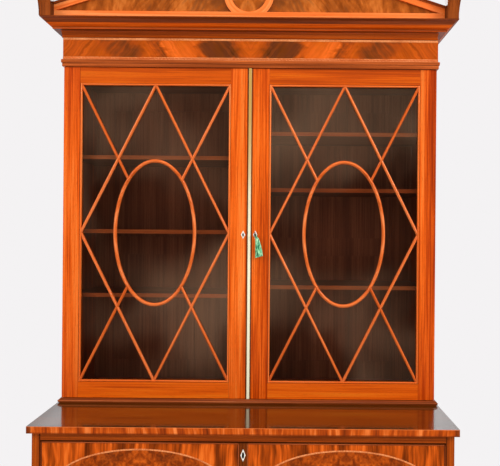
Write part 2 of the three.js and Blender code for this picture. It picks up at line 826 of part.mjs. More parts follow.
function addDoors() {
  const left = new THREE.Group();
  const right = new THREE.Group();
  cabinet.add(left, right);
  const stripHalf = stripWidth / 2;
  const bossFront = doorThickness - camBossDepth;
  const camFront = doorThickness + touch;
  const camBack = camFront + camThickness;
  const keyway = keyholeCut(keyholeClearance, bossFront);
  const camSeat = levelRod(
    keyOffset, keyHeight, camBossRadius + touch, bossFront - touch, doorThickness + overrun,
  );

  addPiece("door_frame_right", doorFrame(-stripHalf, camSeat, ...keyway), mahogany, right);
  addMirrored("door_frame_left", doorFrame(stripHalf + meetingGap), mahogany, left);
  const bars = glazingBars();
  addPiece("glazing_bars_right", bars, satinwood, right);
  addMirrored("glazing_bars_left", bars, satinwood, left);
  const pane = glassPane();
  addPiece("glass_right", pane, clearGlass, right);
  addMirrored("glass_left", pane, clearGlass, left);
  addPiece("escutcheon_right", cut(escutcheon(), ...keyway), ivory, right);
  addMirrored("escutcheon_left", escutcheon(), ivory, left);
  addPiece("meeting_strip", slab(-stripHalf, stripHalf, -touch - stripThickness, -touch, doorLow, doorHigh),
    brass, right);

  // The cam turns in the stile with the key, and its arm swings up behind the other door
  const arm = slab(keyOffset - camWidth / 2, keyOffset + camWidth / 2, camFront, camBack,
    keyHeight - camReach, keyHeight);
  const hub = levelRod(keyOffset, keyHeight, camHubRadius, camFront, camBack);
  const boss = levelRod(keyOffset, keyHeight, camBossRadius, bossFront, camBack);
  addPiece("lock_cam", cut(join(arm, hub, boss), ...keyholeCut(touch, camBack + overrun)), brass, right);
  addKey(right, camBack);
  addTassel(right);
  addHinges({ left, right });
}

// The round hole and the slot below it that the key goes in by
function keyholeCut(clearance, depth) {
  const radius = keyShankRadius + clearance;
  const slotHalf = keyBitWidth / 2 + touch;
  return [
    levelRod(keyOffset, keyHeight, radius, -overrun, depth),
    slab(keyOffset - slotHalf, keyOffset + slotHalf, -overrun, depth,
      keyHeight - keyBitLength - touch, keyHeight),
  ];
}

function addKey(door, keyBack) {
  const shank = levelRod(keyOffset, keyHeight, keyShankRadius, -keyShankOut, keyBack);
  const bitHalf = keyBitWidth / 2;
  const bit = slab(keyOffset - bitHalf, keyOffset + bitHalf, keyBack - keyBitDepth, keyBack,
    keyHeight - keyBitLength, keyHeight);
  const bow = new THREE.TorusGeometry(keyBowRadius, keyBowTube, curveSteps + 2, roundSides)
    .rotateY(Math.PI / 2)
    .translate(keyOffset, -keyShankOut - keyBowRadius, keyHeight);
  addPiece("key", join(shank, bit, bow), agedIron, door);
}

function addTassel(door) {
  const slack = tasselLoopRadius - tasselLoopTube - keyShankRadius - touch;
  const loopHeight = keyHeight - slack;
  const loop = new THREE.TorusGeometry(tasselLoopRadius, tasselLoopTube, curveSteps, roundSides)
    .rotateX(Math.PI / 2)
    .translate(keyOffset, 0, loopHeight);
  const cordHigh = loopHeight - tasselLoopRadius;
  const headHigh = cordHigh - tasselCordLength;
  const neck = headHigh - 2 * tasselHeadRadius;
  const cord = uprightRod(keyOffset, 0, tasselLoopTube, headHigh - tasselHeadRadius, cordHigh);
  const head = arcPoints(
    0, headHigh - tasselHeadRadius, tasselHeadRadius, Math.PI / 2, -Math.PI / 4, curveSteps,
  );
  head[0][0] = 0;
  const skirtLow = neck - tasselSkirtLength;
  const profile = [...head, [tasselNeckRadius, neck], [tasselSkirtRadius, skirtLow], [0, skirtLow]];
  const points = profile.map(([radius, height]) => new THREE.Vector2(radius, height)).reverse();
  const body = new THREE.LatheGeometry(points, roundSides).rotateX(Math.PI / 2).translate(keyOffset, 0, 0);
  const tassel = join(body, cord, loop).scale(1, tasselFlatness, 1).translate(0, -tasselLoopPlace, 0);
  addPiece("tassel", tassel, greenSilk, door);
}

function addFriezeAndCornice() {
  const beadTop = friezeLow + beadHeight;
  const frieze = [
    [-friezeWall, friezeLow],
    [-beadRebate, friezeLow],
    [-beadRebate, beadTop],
    [friezeProud, beadTop],
    [friezeProud, friezeHigh],
    [-friezeWall, friezeHigh],
  ];
  addPiece("frieze", wrapMoulding(frieze, 0), flameVeneer);

  const beadInner = touch - beadRebate;
  const beadMiddle = friezeLow + beadHeight / 2;
  const beadLimit = beadTop - touch;
  const bead = [
    [beadInner, friezeLow],
    [beadLowerProud - beadRound, friezeLow],
    [beadLowerProud, friezeLow + beadRound],
    [beadLowerProud, beadMiddle],
    [beadUpperProud, beadMiddle + beadRound],
    [beadUpperProud, beadLimit - beadRound],
    [beadUpperProud - beadRound, beadLimit],
    [beadInner, beadLimit],
  ];
  addPiece("frieze_bead", wrapMoulding(bead, 0), darkMoulding);

  const low = friezeHigh + touch;
  const coveTop = friezeHigh + coveHeight;
  const coveWide = coveProjection - friezeProud;
  const cove = [];
  for (let step = 0; step <= curveSteps; step += 1) {
    const angle = (step / curveSteps) * (Math.PI / 2);
    cove.push([coveProjection - coveWide * Math.cos(angle), low + (coveTop - low) * Math.sin(angle)]);
  }
  const coronaTop = coveTop + coronaHeight;
  const cymaLow = [coronaProjection + coronaStep, coronaTop + coronaStep / 2];
  const cymaHigh = [corniceProjection, corniceHigh - corniceLip];
  const cyma = [];
  for (let step = 0; step <= curveSteps; step += 1) {
    const share = step / curveSteps;
    cyma.push([
      cymaLow[0] + (cymaHigh[0] - cymaLow[0]) * share,
      cymaLow[1] + (cymaHigh[1] - cymaLow[1]) * (1 - Math.cos(share * Math.PI)) / 2,
    ]);
  }
  const section = [
    [-corniceWall, low],
    ...cove,
    [coronaProjection, coveTop],
    [coronaProjection, coronaTop],
    [cymaLow[0], coronaTop],
    ...cyma,
    [corniceProjection, corniceHigh],
    [-corniceWall, corniceHigh],
  ];
  addPiece("cornice", wrapMoulding(section, 0), darkMoulding);
}

function addPediment() {
  const blockOuter = caseHalf + corniceProjection;
  const blockInner = blockOuter - blockWidth;
  const half = blockInner - touch;
  const low = corniceHigh + touch;
  const bandFront = -corniceProjection + pedimentSetback;
  const boardFront = bandFront + pedimentBandProud;
  const boardBack = boardFront + tympanumThickness;
  const bandTop = corniceHigh + baseBandHeight;
  const rakeStart = half - rakeStartInset;
  const rakeRise = rakeSlope * rakeStart;
  const bandEnd = bandTop - rakeSlope * rakeStartInset + rakeBandHeight;
  const bandApex = bandTop + rakeRise + rakeBandHeight;

  addPiece("tympanum", frontBoard([
    [-half, low],
    [half, low],
    [half, bandEnd - touch],
    [0, bandApex - touch],
    [-half, bandEnd - touch],
  ], boardFront, boardBack), flameVeneer);

  const triangle = [[-rakeStart, bandTop], [0, bandTop + rakeRise], [rakeStart, bandTop]];
  const bands = frontBoard([
    [-half, low],
    [half, low],
    [half, bandEnd],
    [0, bandApex],
    [-half, bandEnd],
  ], bandFront, boardFront - touch, [triangle]);
  const cap = frontBoard([
    [-half, bandEnd],
    [0, bandApex],
    [half, bandEnd],
    [half, bandEnd + rakeCapHeight],
    [0, bandApex + rakeCapHeight],
    [-half, bandEnd + rakeCapHeight],
  ], bandFront - rakeCapProud, boardBack);
  addPiece("pediment_moulding", join(bands, cap), satinwood);

  const blockFront = -corniceProjection;
  const body = slab(blockInner, blockOuter, blockFront, blockFront + blockWidth, low, low + blockHeight);
  const point = new THREE.ConeGeometry(blockWidth / Math.SQRT2, blockPointHeight, 4, 1)
    .rotateX(Math.PI / 2)
    .rotateZ(Math.PI / 4)
    .translate(
      (blockInner + blockOuter) / 2, blockFront + blockWidth / 2, low + blockHeight + blockPointHeight / 2,
    );
  const block = join(body, point);
  addPiece("corner_block_right", block, mahogany);
  addMirrored("corner_block_left", block, mahogany);
}

addPlinth();
addBase();
addCupboardDoors();
addWritingDrawer();
addUpperCase();
addDoors();
addFriezeAndCornice();
addPediment();

export default cabinet;
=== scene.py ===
import math
import random

import bmesh
import bpy
from mathutils import Matrix, Vector


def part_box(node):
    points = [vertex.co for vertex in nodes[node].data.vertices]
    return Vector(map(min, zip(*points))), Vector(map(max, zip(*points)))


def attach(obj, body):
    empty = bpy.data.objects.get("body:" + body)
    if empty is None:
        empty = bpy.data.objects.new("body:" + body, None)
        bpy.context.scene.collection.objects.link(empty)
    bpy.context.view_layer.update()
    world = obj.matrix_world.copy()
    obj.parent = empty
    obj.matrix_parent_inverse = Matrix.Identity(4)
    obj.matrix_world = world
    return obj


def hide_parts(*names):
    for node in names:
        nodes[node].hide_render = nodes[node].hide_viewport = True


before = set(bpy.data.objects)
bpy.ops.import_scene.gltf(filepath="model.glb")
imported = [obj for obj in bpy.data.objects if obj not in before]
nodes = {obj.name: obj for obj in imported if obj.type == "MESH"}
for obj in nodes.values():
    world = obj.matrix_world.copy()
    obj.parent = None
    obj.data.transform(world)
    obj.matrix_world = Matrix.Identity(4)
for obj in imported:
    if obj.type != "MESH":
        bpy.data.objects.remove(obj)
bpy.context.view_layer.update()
print("frame loaded:", len(nodes), "solids")

# Lengths are in metres. X runs to the right, Y to the back and Z up.
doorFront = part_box("door_frame_right")[0].y
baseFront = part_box("writing_fall")[0].y
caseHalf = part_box("door_frame_right")[1].x
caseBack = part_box("upper_back")[1].y
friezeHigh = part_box("frieze")[1].z
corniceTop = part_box("cornice")[1].z + 0.0028  # a little above the solid, as in the photo
sides = ((-1, "left"), (1, "right"))


def linked(name, data):
    thing = bpy.data.objects.new(name, data)
    bpy.context.scene.collection.objects.link(thing)
    return thing


# The camera of the photo: sizes in its pixels, places in metres, roll in radians
photograph = {
    "width": 500,
    "height": 466,
    "focalPixels": 677.2,
    "axisX": 281,
    "axisY": 232,
    "x": 0.094,
    "z": 1.513,
    "distance": 2.0,
    "roll": 0.0083,
}


def makeCamera():
    width, height = photograph["width"], photograph["height"]
    data = bpy.data.cameras.new("camera")
    data.sensor_width = 36
    data.lens = photograph["focalPixels"] * data.sensor_width / width
    data.shift_x = (width / 2 - photograph["axisX"]) / width
    data.shift_y = (photograph["axisY"] - height / 2) / width
    data.clip_start = 0.05
    data.clip_end = 60
    camera = linked("camera", data)
    place = Matrix.Translation((photograph["x"], doorFront - photograph["distance"], photograph["z"]))
    level = Matrix.Rotation(math.pi / 2, 4, "X")
    camera.matrix_world = place @ level @ Matrix.Rotation(photograph["roll"], 4, "Z")
    bpy.context.scene.camera = camera


makeCamera()
bpy.context.scene.view_settings.view_transform = "Standard"
print("camera made")


def tone(red, green, blue):  # a screen colour, 0 to 255, as the light values that sockets take
    def light(value):
        value /= 255
        return value / 12.92 if value <= 0.04045 else ((value + 0.055) / 1.055) ** 2.4

    return (light(red), light(green), light(blue), 1.0)


# Adds nodes to a tree. Inputs are values, wires, or tuples that hold wires.
class Graph:
    def __init__(self, tree, family="ShaderNode"):
        self.tree, self.family = tree, family

    def add(self, kind, inputs=None, out=0, stops=(), **settings):
        node = self.tree.nodes.new(kind if kind.startswith("NodeGroup") else self.family + kind)
        for key, value in settings.items():
            setattr(node, key, value)
        if stops:
            elements = node.color_ramp.elements
            elements.remove(elements[0])
            for index, (place, colour) in enumerate(stops):
                stop = elements.new(place) if index else elements[0]
                stop.position, stop.color = place, colour
        for key, value in (inputs or {}).items():
            if isinstance(value, tuple) and any(isinstance(part, Wire) for part in value):
                value = self.add("CombineXYZ", dict(enumerate(value)))
            if isinstance(value, Wire):
                self.tree.links.new(value.socket, node.inputs[key])
            else:
                node.inputs[key].default_value = value
        return Wire(self, node.outputs[out]) if node.outputs else None

    def mixColour(self, share, first, second, blend="MIX"):
        return self.add("Mix", {0: share, 6: first, 7: second}, 2, data_type="RGBA", blend_type=blend)

    def tinted(self, colour, *tints):  # tints are (share, screen colour) or (share, screen colour, blend)
        for share, shade, *blend in tints:
            colour = self.mixColour(share, colour, tone(*shade), *blend)
        return colour

    def mixVector(self, share, first, second):
        return self.add("Mix", {0: share, 4: first, 5: second}, 1, data_type="VECTOR")

    def mixShader(self, share, first, second):
        return self.add("MixShader", {0: share, 1: first, 2: second})

    def stretch(self, vector, scale):
        return self.add("Mapping", {"Vector": vector, "Scale": scale})

    def split(self, vector):
        first = self.add("SeparateXYZ", {0: vector})
        return [Wire(self, socket) for socket in first.socket.node.outputs]

    def noise(self, vector, detail=2.0, warp=0.0, scale=1.0):
        inputs = {"Vector": vector, "Scale": scale, "Detail": detail, "Distortion": warp}
        return self.add("TexNoise", inputs)

    def place(self):  # the place on the object
        return self.add("TexCoord", {}, 3)

    def axes(self):  # the same as three wires
        return self.split(self.place())

    def grain(self):  # the place in the wood, where the mesh carries it
        return self.add("Attribute", {}, 1, attribute_name="grain")

    def facing(self):  # the three parts of the normal, in the object's own frame
        return self.split(self.add("TexCoord", {}, 1))

    def step(self, value, low, high):  # 0 below low, 1 above high, smooth between
        inputs = {"Value": value, "From Min": low, "From Max": high}
        return self.add("MapRange", inputs, interpolation_type="SMOOTHSTEP")

    def ramp(self, value, stops):  # stops are (place, red, green, blue)
        stops = [(place, tone(*colour)) for place, *colour in stops]
        return self.add("ValToRGB", {0: value}, stops=stops)


def operator(operation, swapped=False):
    def apply(wire, *other):
        values = (*other, wire) if swapped else (wire, *other)
        return wire.graph.add("Math", dict(enumerate(values)), operation=operation)

    return apply


class Wire:
    def __init__(self, graph, socket):
        self.graph, self.socket = graph, socket

    __add__ = __radd__ = operator("ADD")
    __sub__ = operator("SUBTRACT")
    __rsub__ = operator("SUBTRACT", True)
    __mul__ = __rmul__ = operator("MULTIPLY")
    __truediv__ = operator("DIVIDE")
    __pow__ = operator("POWER")
    __gt__ = operator("GREATER_THAN")
    __lt__ = operator("LESS_THAN")
    __abs__ = operator("ABSOLUTE")


# Colours of each wood from its darkest streak to its lightest, as (place, red, green, blue)
woods = {
    "door": [(0, 150, 44, 0), (0.3, 198, 70, 0), (0.5, 228, 92, 8), (0.72, 250, 110, 24), (1, 255, 138, 58)],
    "case": [(0, 110, 38, 0), (0.35, 152, 60, 2), (0.6, 186, 76, 6), (1, 222, 104, 26)],
    "top": [(0, 40, 17, 1), (0.4, 64, 33, 3), (0.62, 79, 40, 6), (1, 104, 54, 12)],
    "dark": [(0, 92, 34, 4), (0.4, 134, 56, 12), (0.62, 162, 70, 20), (1, 196, 94, 36)],
    "front": [(0, 116, 42, 0), (0.4, 160, 66, 4), (0.62, 186, 80, 8), (1, 218, 104, 22)],
    "block": [(0, 78, 27, 0), (0.4, 106, 44, 4), (0.62, 128, 56, 8), (1, 158, 74, 18)],
    "fillet": [(0, 84, 30, 0), (0.4, 114, 46, 6), (0.62, 134, 56, 12), (1, 164, 76, 26)],
    "cyma": [(0, 136, 46, 0), (0.35, 184, 69, 0), (0.6, 216, 88, 0), (1, 246, 116, 14)],
    "bead": [(0, 118, 48, 12), (0.4, 164, 74, 24), (0.62, 194, 92, 36), (1, 236, 124, 56)],
    "waist": [(0, 112, 50, 18), (0.4, 150, 70, 30), (0.62, 172, 84, 40), (1, 204, 112, 62)],
    "cove": [(0, 160, 54, 0), (0.4, 208, 80, 0), (0.6, 228, 94, 4), (1, 250, 120, 30)],
    "bar": [(0, 196, 78, 14), (0.4, 220, 100, 34), (0.6, 234, 114, 48), (1, 252, 146, 84)],
    "light": [(0, 226, 98, 26), (0.4, 246, 118, 46), (0.6, 252, 132, 60), (1, 255, 158, 90)],
    "inner": [(0, 100, 54, 34), (0.4, 132, 72, 46), (0.62, 150, 86, 56), (1, 174, 104, 70)],
}
# Roughness, roughness of the polish and weight of the polish
plainPolish = (0.34, 0.12, 0.3)
polish = {
    "door": (0.32, 0.10, 0.35),
    "case": (0.32, 0.10, 0.35),
    "top": (0.22, 0.07, 1.0),
    "dark": (0.42, 0.20, 0.10),
    "block": (0.36, 0.16, 0.18),
    "fillet": (0.46, 0.24, 0.06),
    "cyma": (0.44, 0.22, 0.08),
    "cove": (0.50, 0.30, 0.0),
    "bar": (0.36, 0.12, 0.3),
    "inner": (0.55, 0.20, 0.0),
}
# How widely the figure's colours run into each other: wider is calmer
plainSoftness = 0.20
softness = {"case": 0.27, "inner": 0.25}
reliefDepth = 0.0006


def newFinish(name):
    material = bpy.data.materials.new(name)
    material.use_nodes = True
    material.node_tree.nodes.clear()
    return material, Graph(material.node_tree)


def finishSurface(
    graph, colour, roughness, height, bump=0.1, specular=0.1, coat=0.0, coatRoughness=0.1, metal=0.0
):
    relief = {"Strength": bump, "Distance": reliefDepth, "Height": height}
    inputs = {
        "Base Color": colour,
        "Roughness": roughness,
        "Specular IOR Level": specular,
        "Coat Weight": coat,
        "Coat Roughness": coatRoughness,
        "Metallic": metal,
        "Normal": graph.add("Bump", relief),
    }
    graph.add("OutputMaterial", {"Surface": graph.add("BsdfPrincipled", inputs)})


def polished(graph, colour, height, wood, uneven=None):
    roughness, coatRoughness, coat = polish.get(wood, plainPolish)
    if uneven is not None:
        roughness = uneven * 0.12 + (roughness - 0.06)
    finishSurface(graph, colour, roughness, height, 0.12, 0.1, coat, coatRoughness)


def wear(name, material):
    materials = nodes[name].data.materials
    materials.clear()
    materials.append(material)


# Straight-grained timber: slow bands, ribbon stripes, fine streaks and short dark pores.
# Places in the wood are (across, through, along), so the grain runs along the third.
def straightFigure(graph, place, wood, seed=0.0, soft=plainSoftness, parts=(0.30, 0.38, 0.32)):
    moved = graph.add("VectorMath", {0: place, 1: (seed, seed * 0.7, seed * 1.3)}, operation="ADD")

    def noise(across, along, detail, warp=0.0):
        return graph.noise(graph.stretch(moved, (across, across, along)), detail, warp)

    streaks = noise(260, 4.5, 3.0)
    figure = noise(11, 0.5, 1.5) * parts[0] + noise(46, 1.0, 3.0, 0.3) * parts[1] + streaks * parts[2]
    colour = graph.ramp(graph.step(figure, 0.5 - soft, 0.5 + soft), woods[wood])
    pores = graph.step(noise(1500, 60, 1.0), 0.60, 0.74)
    poreShade = [value * 0.75 for value in woods[wood][0][1:]]
    return graph.tinted(colour, (pores * 0.45, poreShade)), streaks - pores * 0.5


finishes = {}


# A finish of one wood. Its grain runs along x or z, or as the mesh's own grain places say.
def timber(wood, source, seed=0.0):
    key = f"{wood}_{source}_{seed:g}"
    if key not in finishes:
        finishes[key], graph = newFinish(key)
        if source == "grain":
            place = graph.grain()
        else:
            x, y, z = graph.axes()
            place = (y, z, x) if source == "x" else (x, y, z)
        colour, height = straightFigure(graph, place, wood, seed, softness.get(wood, plainSoftness))
        polished(graph, colour, height, wood, graph.noise(graph.place(), 2.0, 0.0, 14.0))
    return finishes[key]


# Colours of the figured veneers, and of the smoky patches in two of them
flames = {
    "pediment": [(0, 134, 62, 12), (0.45, 167, 81, 18), (0.7, 186, 94, 26), (1, 208, 114, 42)],
    "drawer": [(0, 102, 36, 0), (0.4, 150, 58, 2), (0.7, 182, 74, 4), (1, 220, 100, 20)],
    "cross": [(0, 96, 34, 0), (0.3, 144, 56, 0), (0.55, 184, 74, 2), (0.8, 220, 92, 10), (1, 244, 118, 34)],
    "edge": [(0, 112, 40, 2), (0.3, 166, 62, 4), (0.6, 206, 86, 10), (1, 250, 136, 64)],
    "frieze": [
        (0.10, 92, 44, 20), (0.28, 128, 58, 16), (0.45, 176, 72, 8),
        (0.62, 212, 90, 12), (0.80, 244, 110, 30), (1.00, 255, 144, 76),
    ],
}
smokes = {"pediment": (112, 58, 22), "drawer": (92, 42, 12)}


# Crotch veneer: feathered streaks that lean away from a middle line, with smoky patches
def flameColour(graph, side, height, seed, kind, size=1.0):
    def noise(u, v, scales, shift, detail, warp=0.0):
        return graph.noise((u * (scales[0] / size), v * (scales[1] / size), seed + shift), detail, warp)

    sway = noise(side, height, (6, 7), 0, 2.0)
    lean = side * 0.9 + height * 0.45 + (sway - 0.5) * (0.10 * size)
    along = height - side * 0.5
    feather = noise(lean, along, (150, 13), 0, 4.0, 0.2)
    broad = noise(lean, along, (40, 8), 3, 3.0, 0.3)
    fleck = noise(side, height, (150, 75), 5, 3.0)
    smoke = noise(side, height, (14, 10), 8, 4.0, 0.3)
    shade = graph.step(feather * 0.30 + broad * 0.44 + fleck * 0.26, 0.34, 0.66)
    dark = graph.step(smoke * 0.75 + feather * 0.25, 0.50, 0.62)
    return graph.tinted(graph.ramp(shade, flames[kind]), (dark * 0.75, smokes[kind])), shade


# Crossbanding: short grain in narrow stripes that stand across the run of the band
def crossbandColour(graph, run, across, seed, kind="cross"):
    sway = graph.noise((run * 9, across * 14, seed + 2), 1.0)
    moved = run + (sway - 0.5) * 0.02
    wide = graph.noise((moved * 36, across * 4, seed))
    middle = graph.noise((moved * 105, across * 9, seed + 5))
    fine = graph.noise((run * 330, across * 16, seed))
    shade = graph.step(wide * 0.54 + middle * 0.30 + fine * 0.16, 0.34, 0.66)
    return graph.ramp(shade, flames[kind]), shade


# The frieze's dark and light zones from its middle outwards, as (place, lightness)
friezeZones = [
    (0.0, 0.56), (0.05, 0.5), (0.12, 0.1), (0.22, 0.16), (0.29, 0.66), (0.42, 0.74),
    (0.46, 0.3), (0.53, 0.62), (0.64, 0.2), (0.72, 0.3), (0.79, 0.52), (1.0, 0.5),
]
friezePattern = {"reach": 0.56, "middleZ": 2.05, "chevronX": 0.32}


# Book-matched veneer of the frieze: its zones, then chevrons over them
def friezeColour(graph, side, height):
    edge = graph.noise((side * 17, height * 34, 4), 5.0, 0.6)
    moved = side + (edge - 0.5) * 0.12 - (height - friezePattern["middleZ"]) * 0.25
    stops = [(place, (shade, shade, shade, 1)) for place, shade in friezeZones]
    zone = graph.add("ValToRGB", {0: moved / friezePattern["reach"]}, stops=stops)
    zone = graph.add("RGBToBW", {0: zone})
    chevron = abs(side - friezePattern["chevronX"]) + height * 0.75 + (edge - 0.5) * 0.02
    coarse = graph.noise((chevron * 95, side * 8, 1.5), 3.0)
    fine = graph.noise((chevron * 330, side * 20, 2.5), 3.0)
    colour = graph.ramp(zone * 0.85 + coarse * 0.42 + fine * 0.24 - 0.24, flames["frieze"])
    gold = graph.step(graph.noise((side * 12, height * 16, 9), 2.0, 0.5), 0.46, 0.62)
    return graph.tinted(colour, (gold * 0.7, (236, 240, 120), "MULTIPLY")), fine


def metalFinish(name, dark, bright, roughness, scale=60.0):
    material, graph = newFinish(name)
    worn = graph.noise(graph.place(), 4.0, 0.2, scale)
    fine = graph.noise(graph.place(), 2.0, 0.0, scale * 12)
    colour = graph.mixColour(graph.step(worn, 0.35, 0.65), tone(*dark), tone(*bright))
    finishSurface(graph, colour, worn * 0.22 + fine * 0.08 + roughness, fine, 0.05, 0.5, metal=1.0)
    return material


def boneFinish():
    material, graph = newFinish("bone")
    lines = graph.noise(graph.stretch(graph.place(), (900, 900, 90)), 3.0)
    stain = graph.noise(graph.place(), 3.0, 0.0, 90.0)
    streaks = graph.step(lines, 0.45, 0.75) * 0.4
    stains = graph.step(stain, 0.55, 0.75) * 0.3
    colour = graph.tinted(tone(255, 250, 238), (streaks, (222, 202, 168)), (stains, (190, 160, 120)))
    finishSurface(graph, colour, stain * 0.2 + 0.25, lines, 0.06, 0.4)
    return material


# Near-black with grit, the painted shade in the keyhole openings
def blackFinish():
    material, graph = newFinish("black")
    grit = graph.noise(graph.place(), 3.0, 0.0, 500.0)
    colour = graph.mixColour(grit, tone(14, 10, 8), tone(34, 24, 18))
    finishSurface(graph, colour, grit * 0.3 + 0.5, grit, 0.1, 0.2)
    return material


def stringFinish():
    material, graph = newFinish("stringing")
    fine = graph.noise(graph.place(), 3.0, 0.0, 260.0)
    slow = graph.noise(graph.place(), 2.0, 0.0, 22.0)
    shade = graph.step(fine * 0.6 + slow * 0.4, 0.35, 0.65)
    colour = graph.mixColour(shade, tone(206, 106, 50), tone(246, 158, 98))
    finishSurface(graph, colour, fine * 0.15 + 0.28, fine, 0.05, 0.1, 0.3, 0.12)
    return material


brass = metalFinish("brass", (150, 112, 56), (250, 226, 172), 0.12)
stringing = stringFinish()
print("finishes ready")


def addPiece(name, shape, body, stands=()):  # the shape is a mesh, or a list of meshes to join
    piece = linked(name, joined(name, shape) if isinstance(shape, list) else shape)
    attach(piece, body)
    if stands:
        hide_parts(*stands)


def softened(mesh, degrees):  # smooth, apart from edges sharper than the angle
    mesh.shade_smooth()
    mesh.set_sharp_from_angle(angle=math.radians(degrees))
    return mesh


def meshOf(name, shape):  # the shape is a bmesh, which is freed
    mesh = bpy.data.meshes.new(name)
    shape.to_mesh(mesh)
    shape.free()
    return mesh


def setGrain(mesh, places):  # the place in the wood of each point
    attribute = mesh.attributes.new("grain", "FLOAT_VECTOR", "POINT")
    attribute.data.foreach_set("vector", [value for place in places for value in place])
    return mesh


def turnsOf(count):
    return [2 * math.pi * step / count for step in range(count)]


def roundSection(radius, count=8):
    return [(radius * math.cos(turn), radius * math.sin(turn)) for turn in turnsOf(count)]


def ellipse(centreX, centreZ, halfX, halfZ, y, steps):
    turns = turnsOf(steps)
    return [(centreX + halfX * math.cos(turn), y, centreZ + halfZ * math.sin(turn)) for turn in turns]


def arc(centreU, centreV, radius, start, end, steps):
    turns = [math.radians(start + (end - start) * step / steps) for step in range(steps + 1)]
    return [(centreU + radius * math.cos(turn), centreV + radius * math.sin(turn)) for turn in turns]


# Rings of as many points each, joined in turn. The ends are filled unless the last ring meets the
# first. Bands are the finish of each stretch of a ring, grain is the place in the wood of each point.
def loft(name, rings, materials, grain=None, bands=None, smooth=None, closed=False):
    count, runs = len(rings[0]), len(rings) if closed else len(rings) - 1
    faces = []
    for run in range(runs):
        here, there = run * count, (run + 1) % len(rings) * count
        for index in range(count):
            following = (index + 1) % count
            faces.append((here + index, there + index, there + following, here + following))
    if not closed:
        faces += [tuple(range(count)), tuple(reversed(range(runs * count, (runs + 1) * count)))]
    mesh = bpy.data.meshes.new(name)
    mesh.from_pydata([tuple(point) for ring in rings for point in ring], [], faces)
    for material in materials:
        mesh.materials.append(material)
    if bands:
        mesh.polygons.foreach_set("material_index", bands * runs + bands[-1:] * 2)
    if grain:
        setGrain(mesh, grain)
    shape = bmesh.new()
    shape.from_mesh(mesh)
    bmesh.ops.recalc_face_normals(shape, faces=shape.faces)
    shape.to_mesh(mesh)
    shape.free()
    return softened(mesh, smooth) if smooth else mesh


# A turned shape: (radius, distance) points along an axis that starts at a place
def turned(name, place, profile, material, axis=(0, -1, 0), steps=32):
    direction = Vector(axis).normalized()
    sideways = direction.orthogonal().normalized()
    upwards = direction.cross(sideways)
    spokes = [sideways * math.cos(turn) + upwards * math.sin(turn) for turn in turnsOf(steps)]
    thinnest = 0.00002
    rings = [
        [Vector(place) + direction * distance + spoke * max(radius, thinnest) for spoke in spokes]
        for radius, distance in profile
    ]
    return loft(name, rings, [material], smooth=40)


# A flat shape of one thickness. Its outline is (x, z) points and its grain runs along a direction.
def flatShape(name, outline, front, back, material, along, seed):
    points = [(x, y, z) for y in (front, back) for x, z in outline]
    direction = Vector((along[0], 0, along[1])).normalized()
    across = direction.cross(Vector((0, 1, 0)))
    grain = []
    for point in points:
        place = Vector(point)
        grain.append((place.dot(across) + seed * 0.4, point[1], place.dot(direction) + seed * 2.3))
    return loft(name, [points[: len(outline)], points[len(outline) :]], [material], grain)


# One line of edges through the points, or several when the points are a list of lists
def polyline(name, points, closed=False):
    places, edges = [], []
    for chain in points if isinstance(points[0], list) else [points]:
        start = len(places)
        places += [tuple(point) for point in chain]
        edges += [(start + index, start + index + 1) for index in range(len(chain) - 1)]
        if closed:
            edges.append((len(places) - 1, start))
    mesh = bpy.data.meshes.new(name)
    mesh.from_pydata(places, edges, [])
    return linked(name, mesh)


# A tree of geometry nodes with its input sockets, the keys of all but the first, and their wires
def newTree(name, sockets):
    tree = bpy.data.node_groups.new(name, "GeometryNodeTree")
    graph = Graph(tree, "GeometryNode")
    keys = []
    for label, kind in sockets.items():
        socket = tree.interface.new_socket(label, in_out="INPUT", socket_type=f"NodeSocket{kind}")
        keys.append(socket.identifier)
    tree.interface.new_socket("Geometry", in_out="OUTPUT", socket_type="NodeSocketGeometry")
    entry = tree.nodes.new("NodeGroupInput")
    return tree, keys[1:], graph, [Wire(graph, entry.outputs[index]) for index in range(len(sockets))]


# Ends a tree: real geometry in one material
def endTree(graph, body, finish):
    body = graph.add("RealizeInstances", {"Geometry": body})
    body = graph.add("SetMaterial", {"Geometry": body, "Material": finish})
    graph.add("NodeGroupOutput", {0: body})


# Runs a tree on a line and returns the plain mesh that it makes
def grown(line, tree, keys, values, name):
    modifier = line.modifiers.new(name, "NODES")
    modifier.node_group = tree
    for key, value in zip(keys, values):
        modifier[key] = value
    graph = bpy.context.evaluated_depsgraph_get()
    graph.update()
    mesh = bpy.data.meshes.new_from_object(line.evaluated_get(graph))
    mesh.name = name
    line.modifiers.remove(modifier)
    bpy.data.objects.remove(line)
    return mesh


# A strip of one section along a path: glazing bars, stringing and rings
def makeStripTree():
    sockets = {"Geometry": "Geometry", "Section": "Object", "Faces towards": "Vector", "Finish": "Material"}
    tree, keys, graph, (path, section, out, finish) = newTree("strip_along_path", sockets)
    line = graph.add("MeshToCurve", {"Mesh": path})
    line = graph.add("SetCurveNormal", {"Curve": line, "Normal": out}, mode="FREE")
    profile = graph.add("ObjectInfo", {"Object": section}, "Geometry")
    profile = graph.add("MeshToCurve", {"Mesh": profile})
    body = graph.add("CurveToMesh", {"Curve": line, "Profile Curve": profile, "Fill Caps": True})
    endTree(graph, body, finish)
    return tree, keys


stripTree, stripKeys = makeStripTree()


# Sections are (out, across) points; paths are lists of points, closed or open
def strip(name, path, closed, section, material, out=(0, -1, 0)):
    profile = polyline(name + "_section", [(u, v, 0) for u, v in section], True)
    line = polyline(name, path, closed)
    mesh = grown(line, stripTree, stripKeys, (profile, out, material), name)
    bpy.data.objects.remove(profile)
    return softened(mesh, 50)


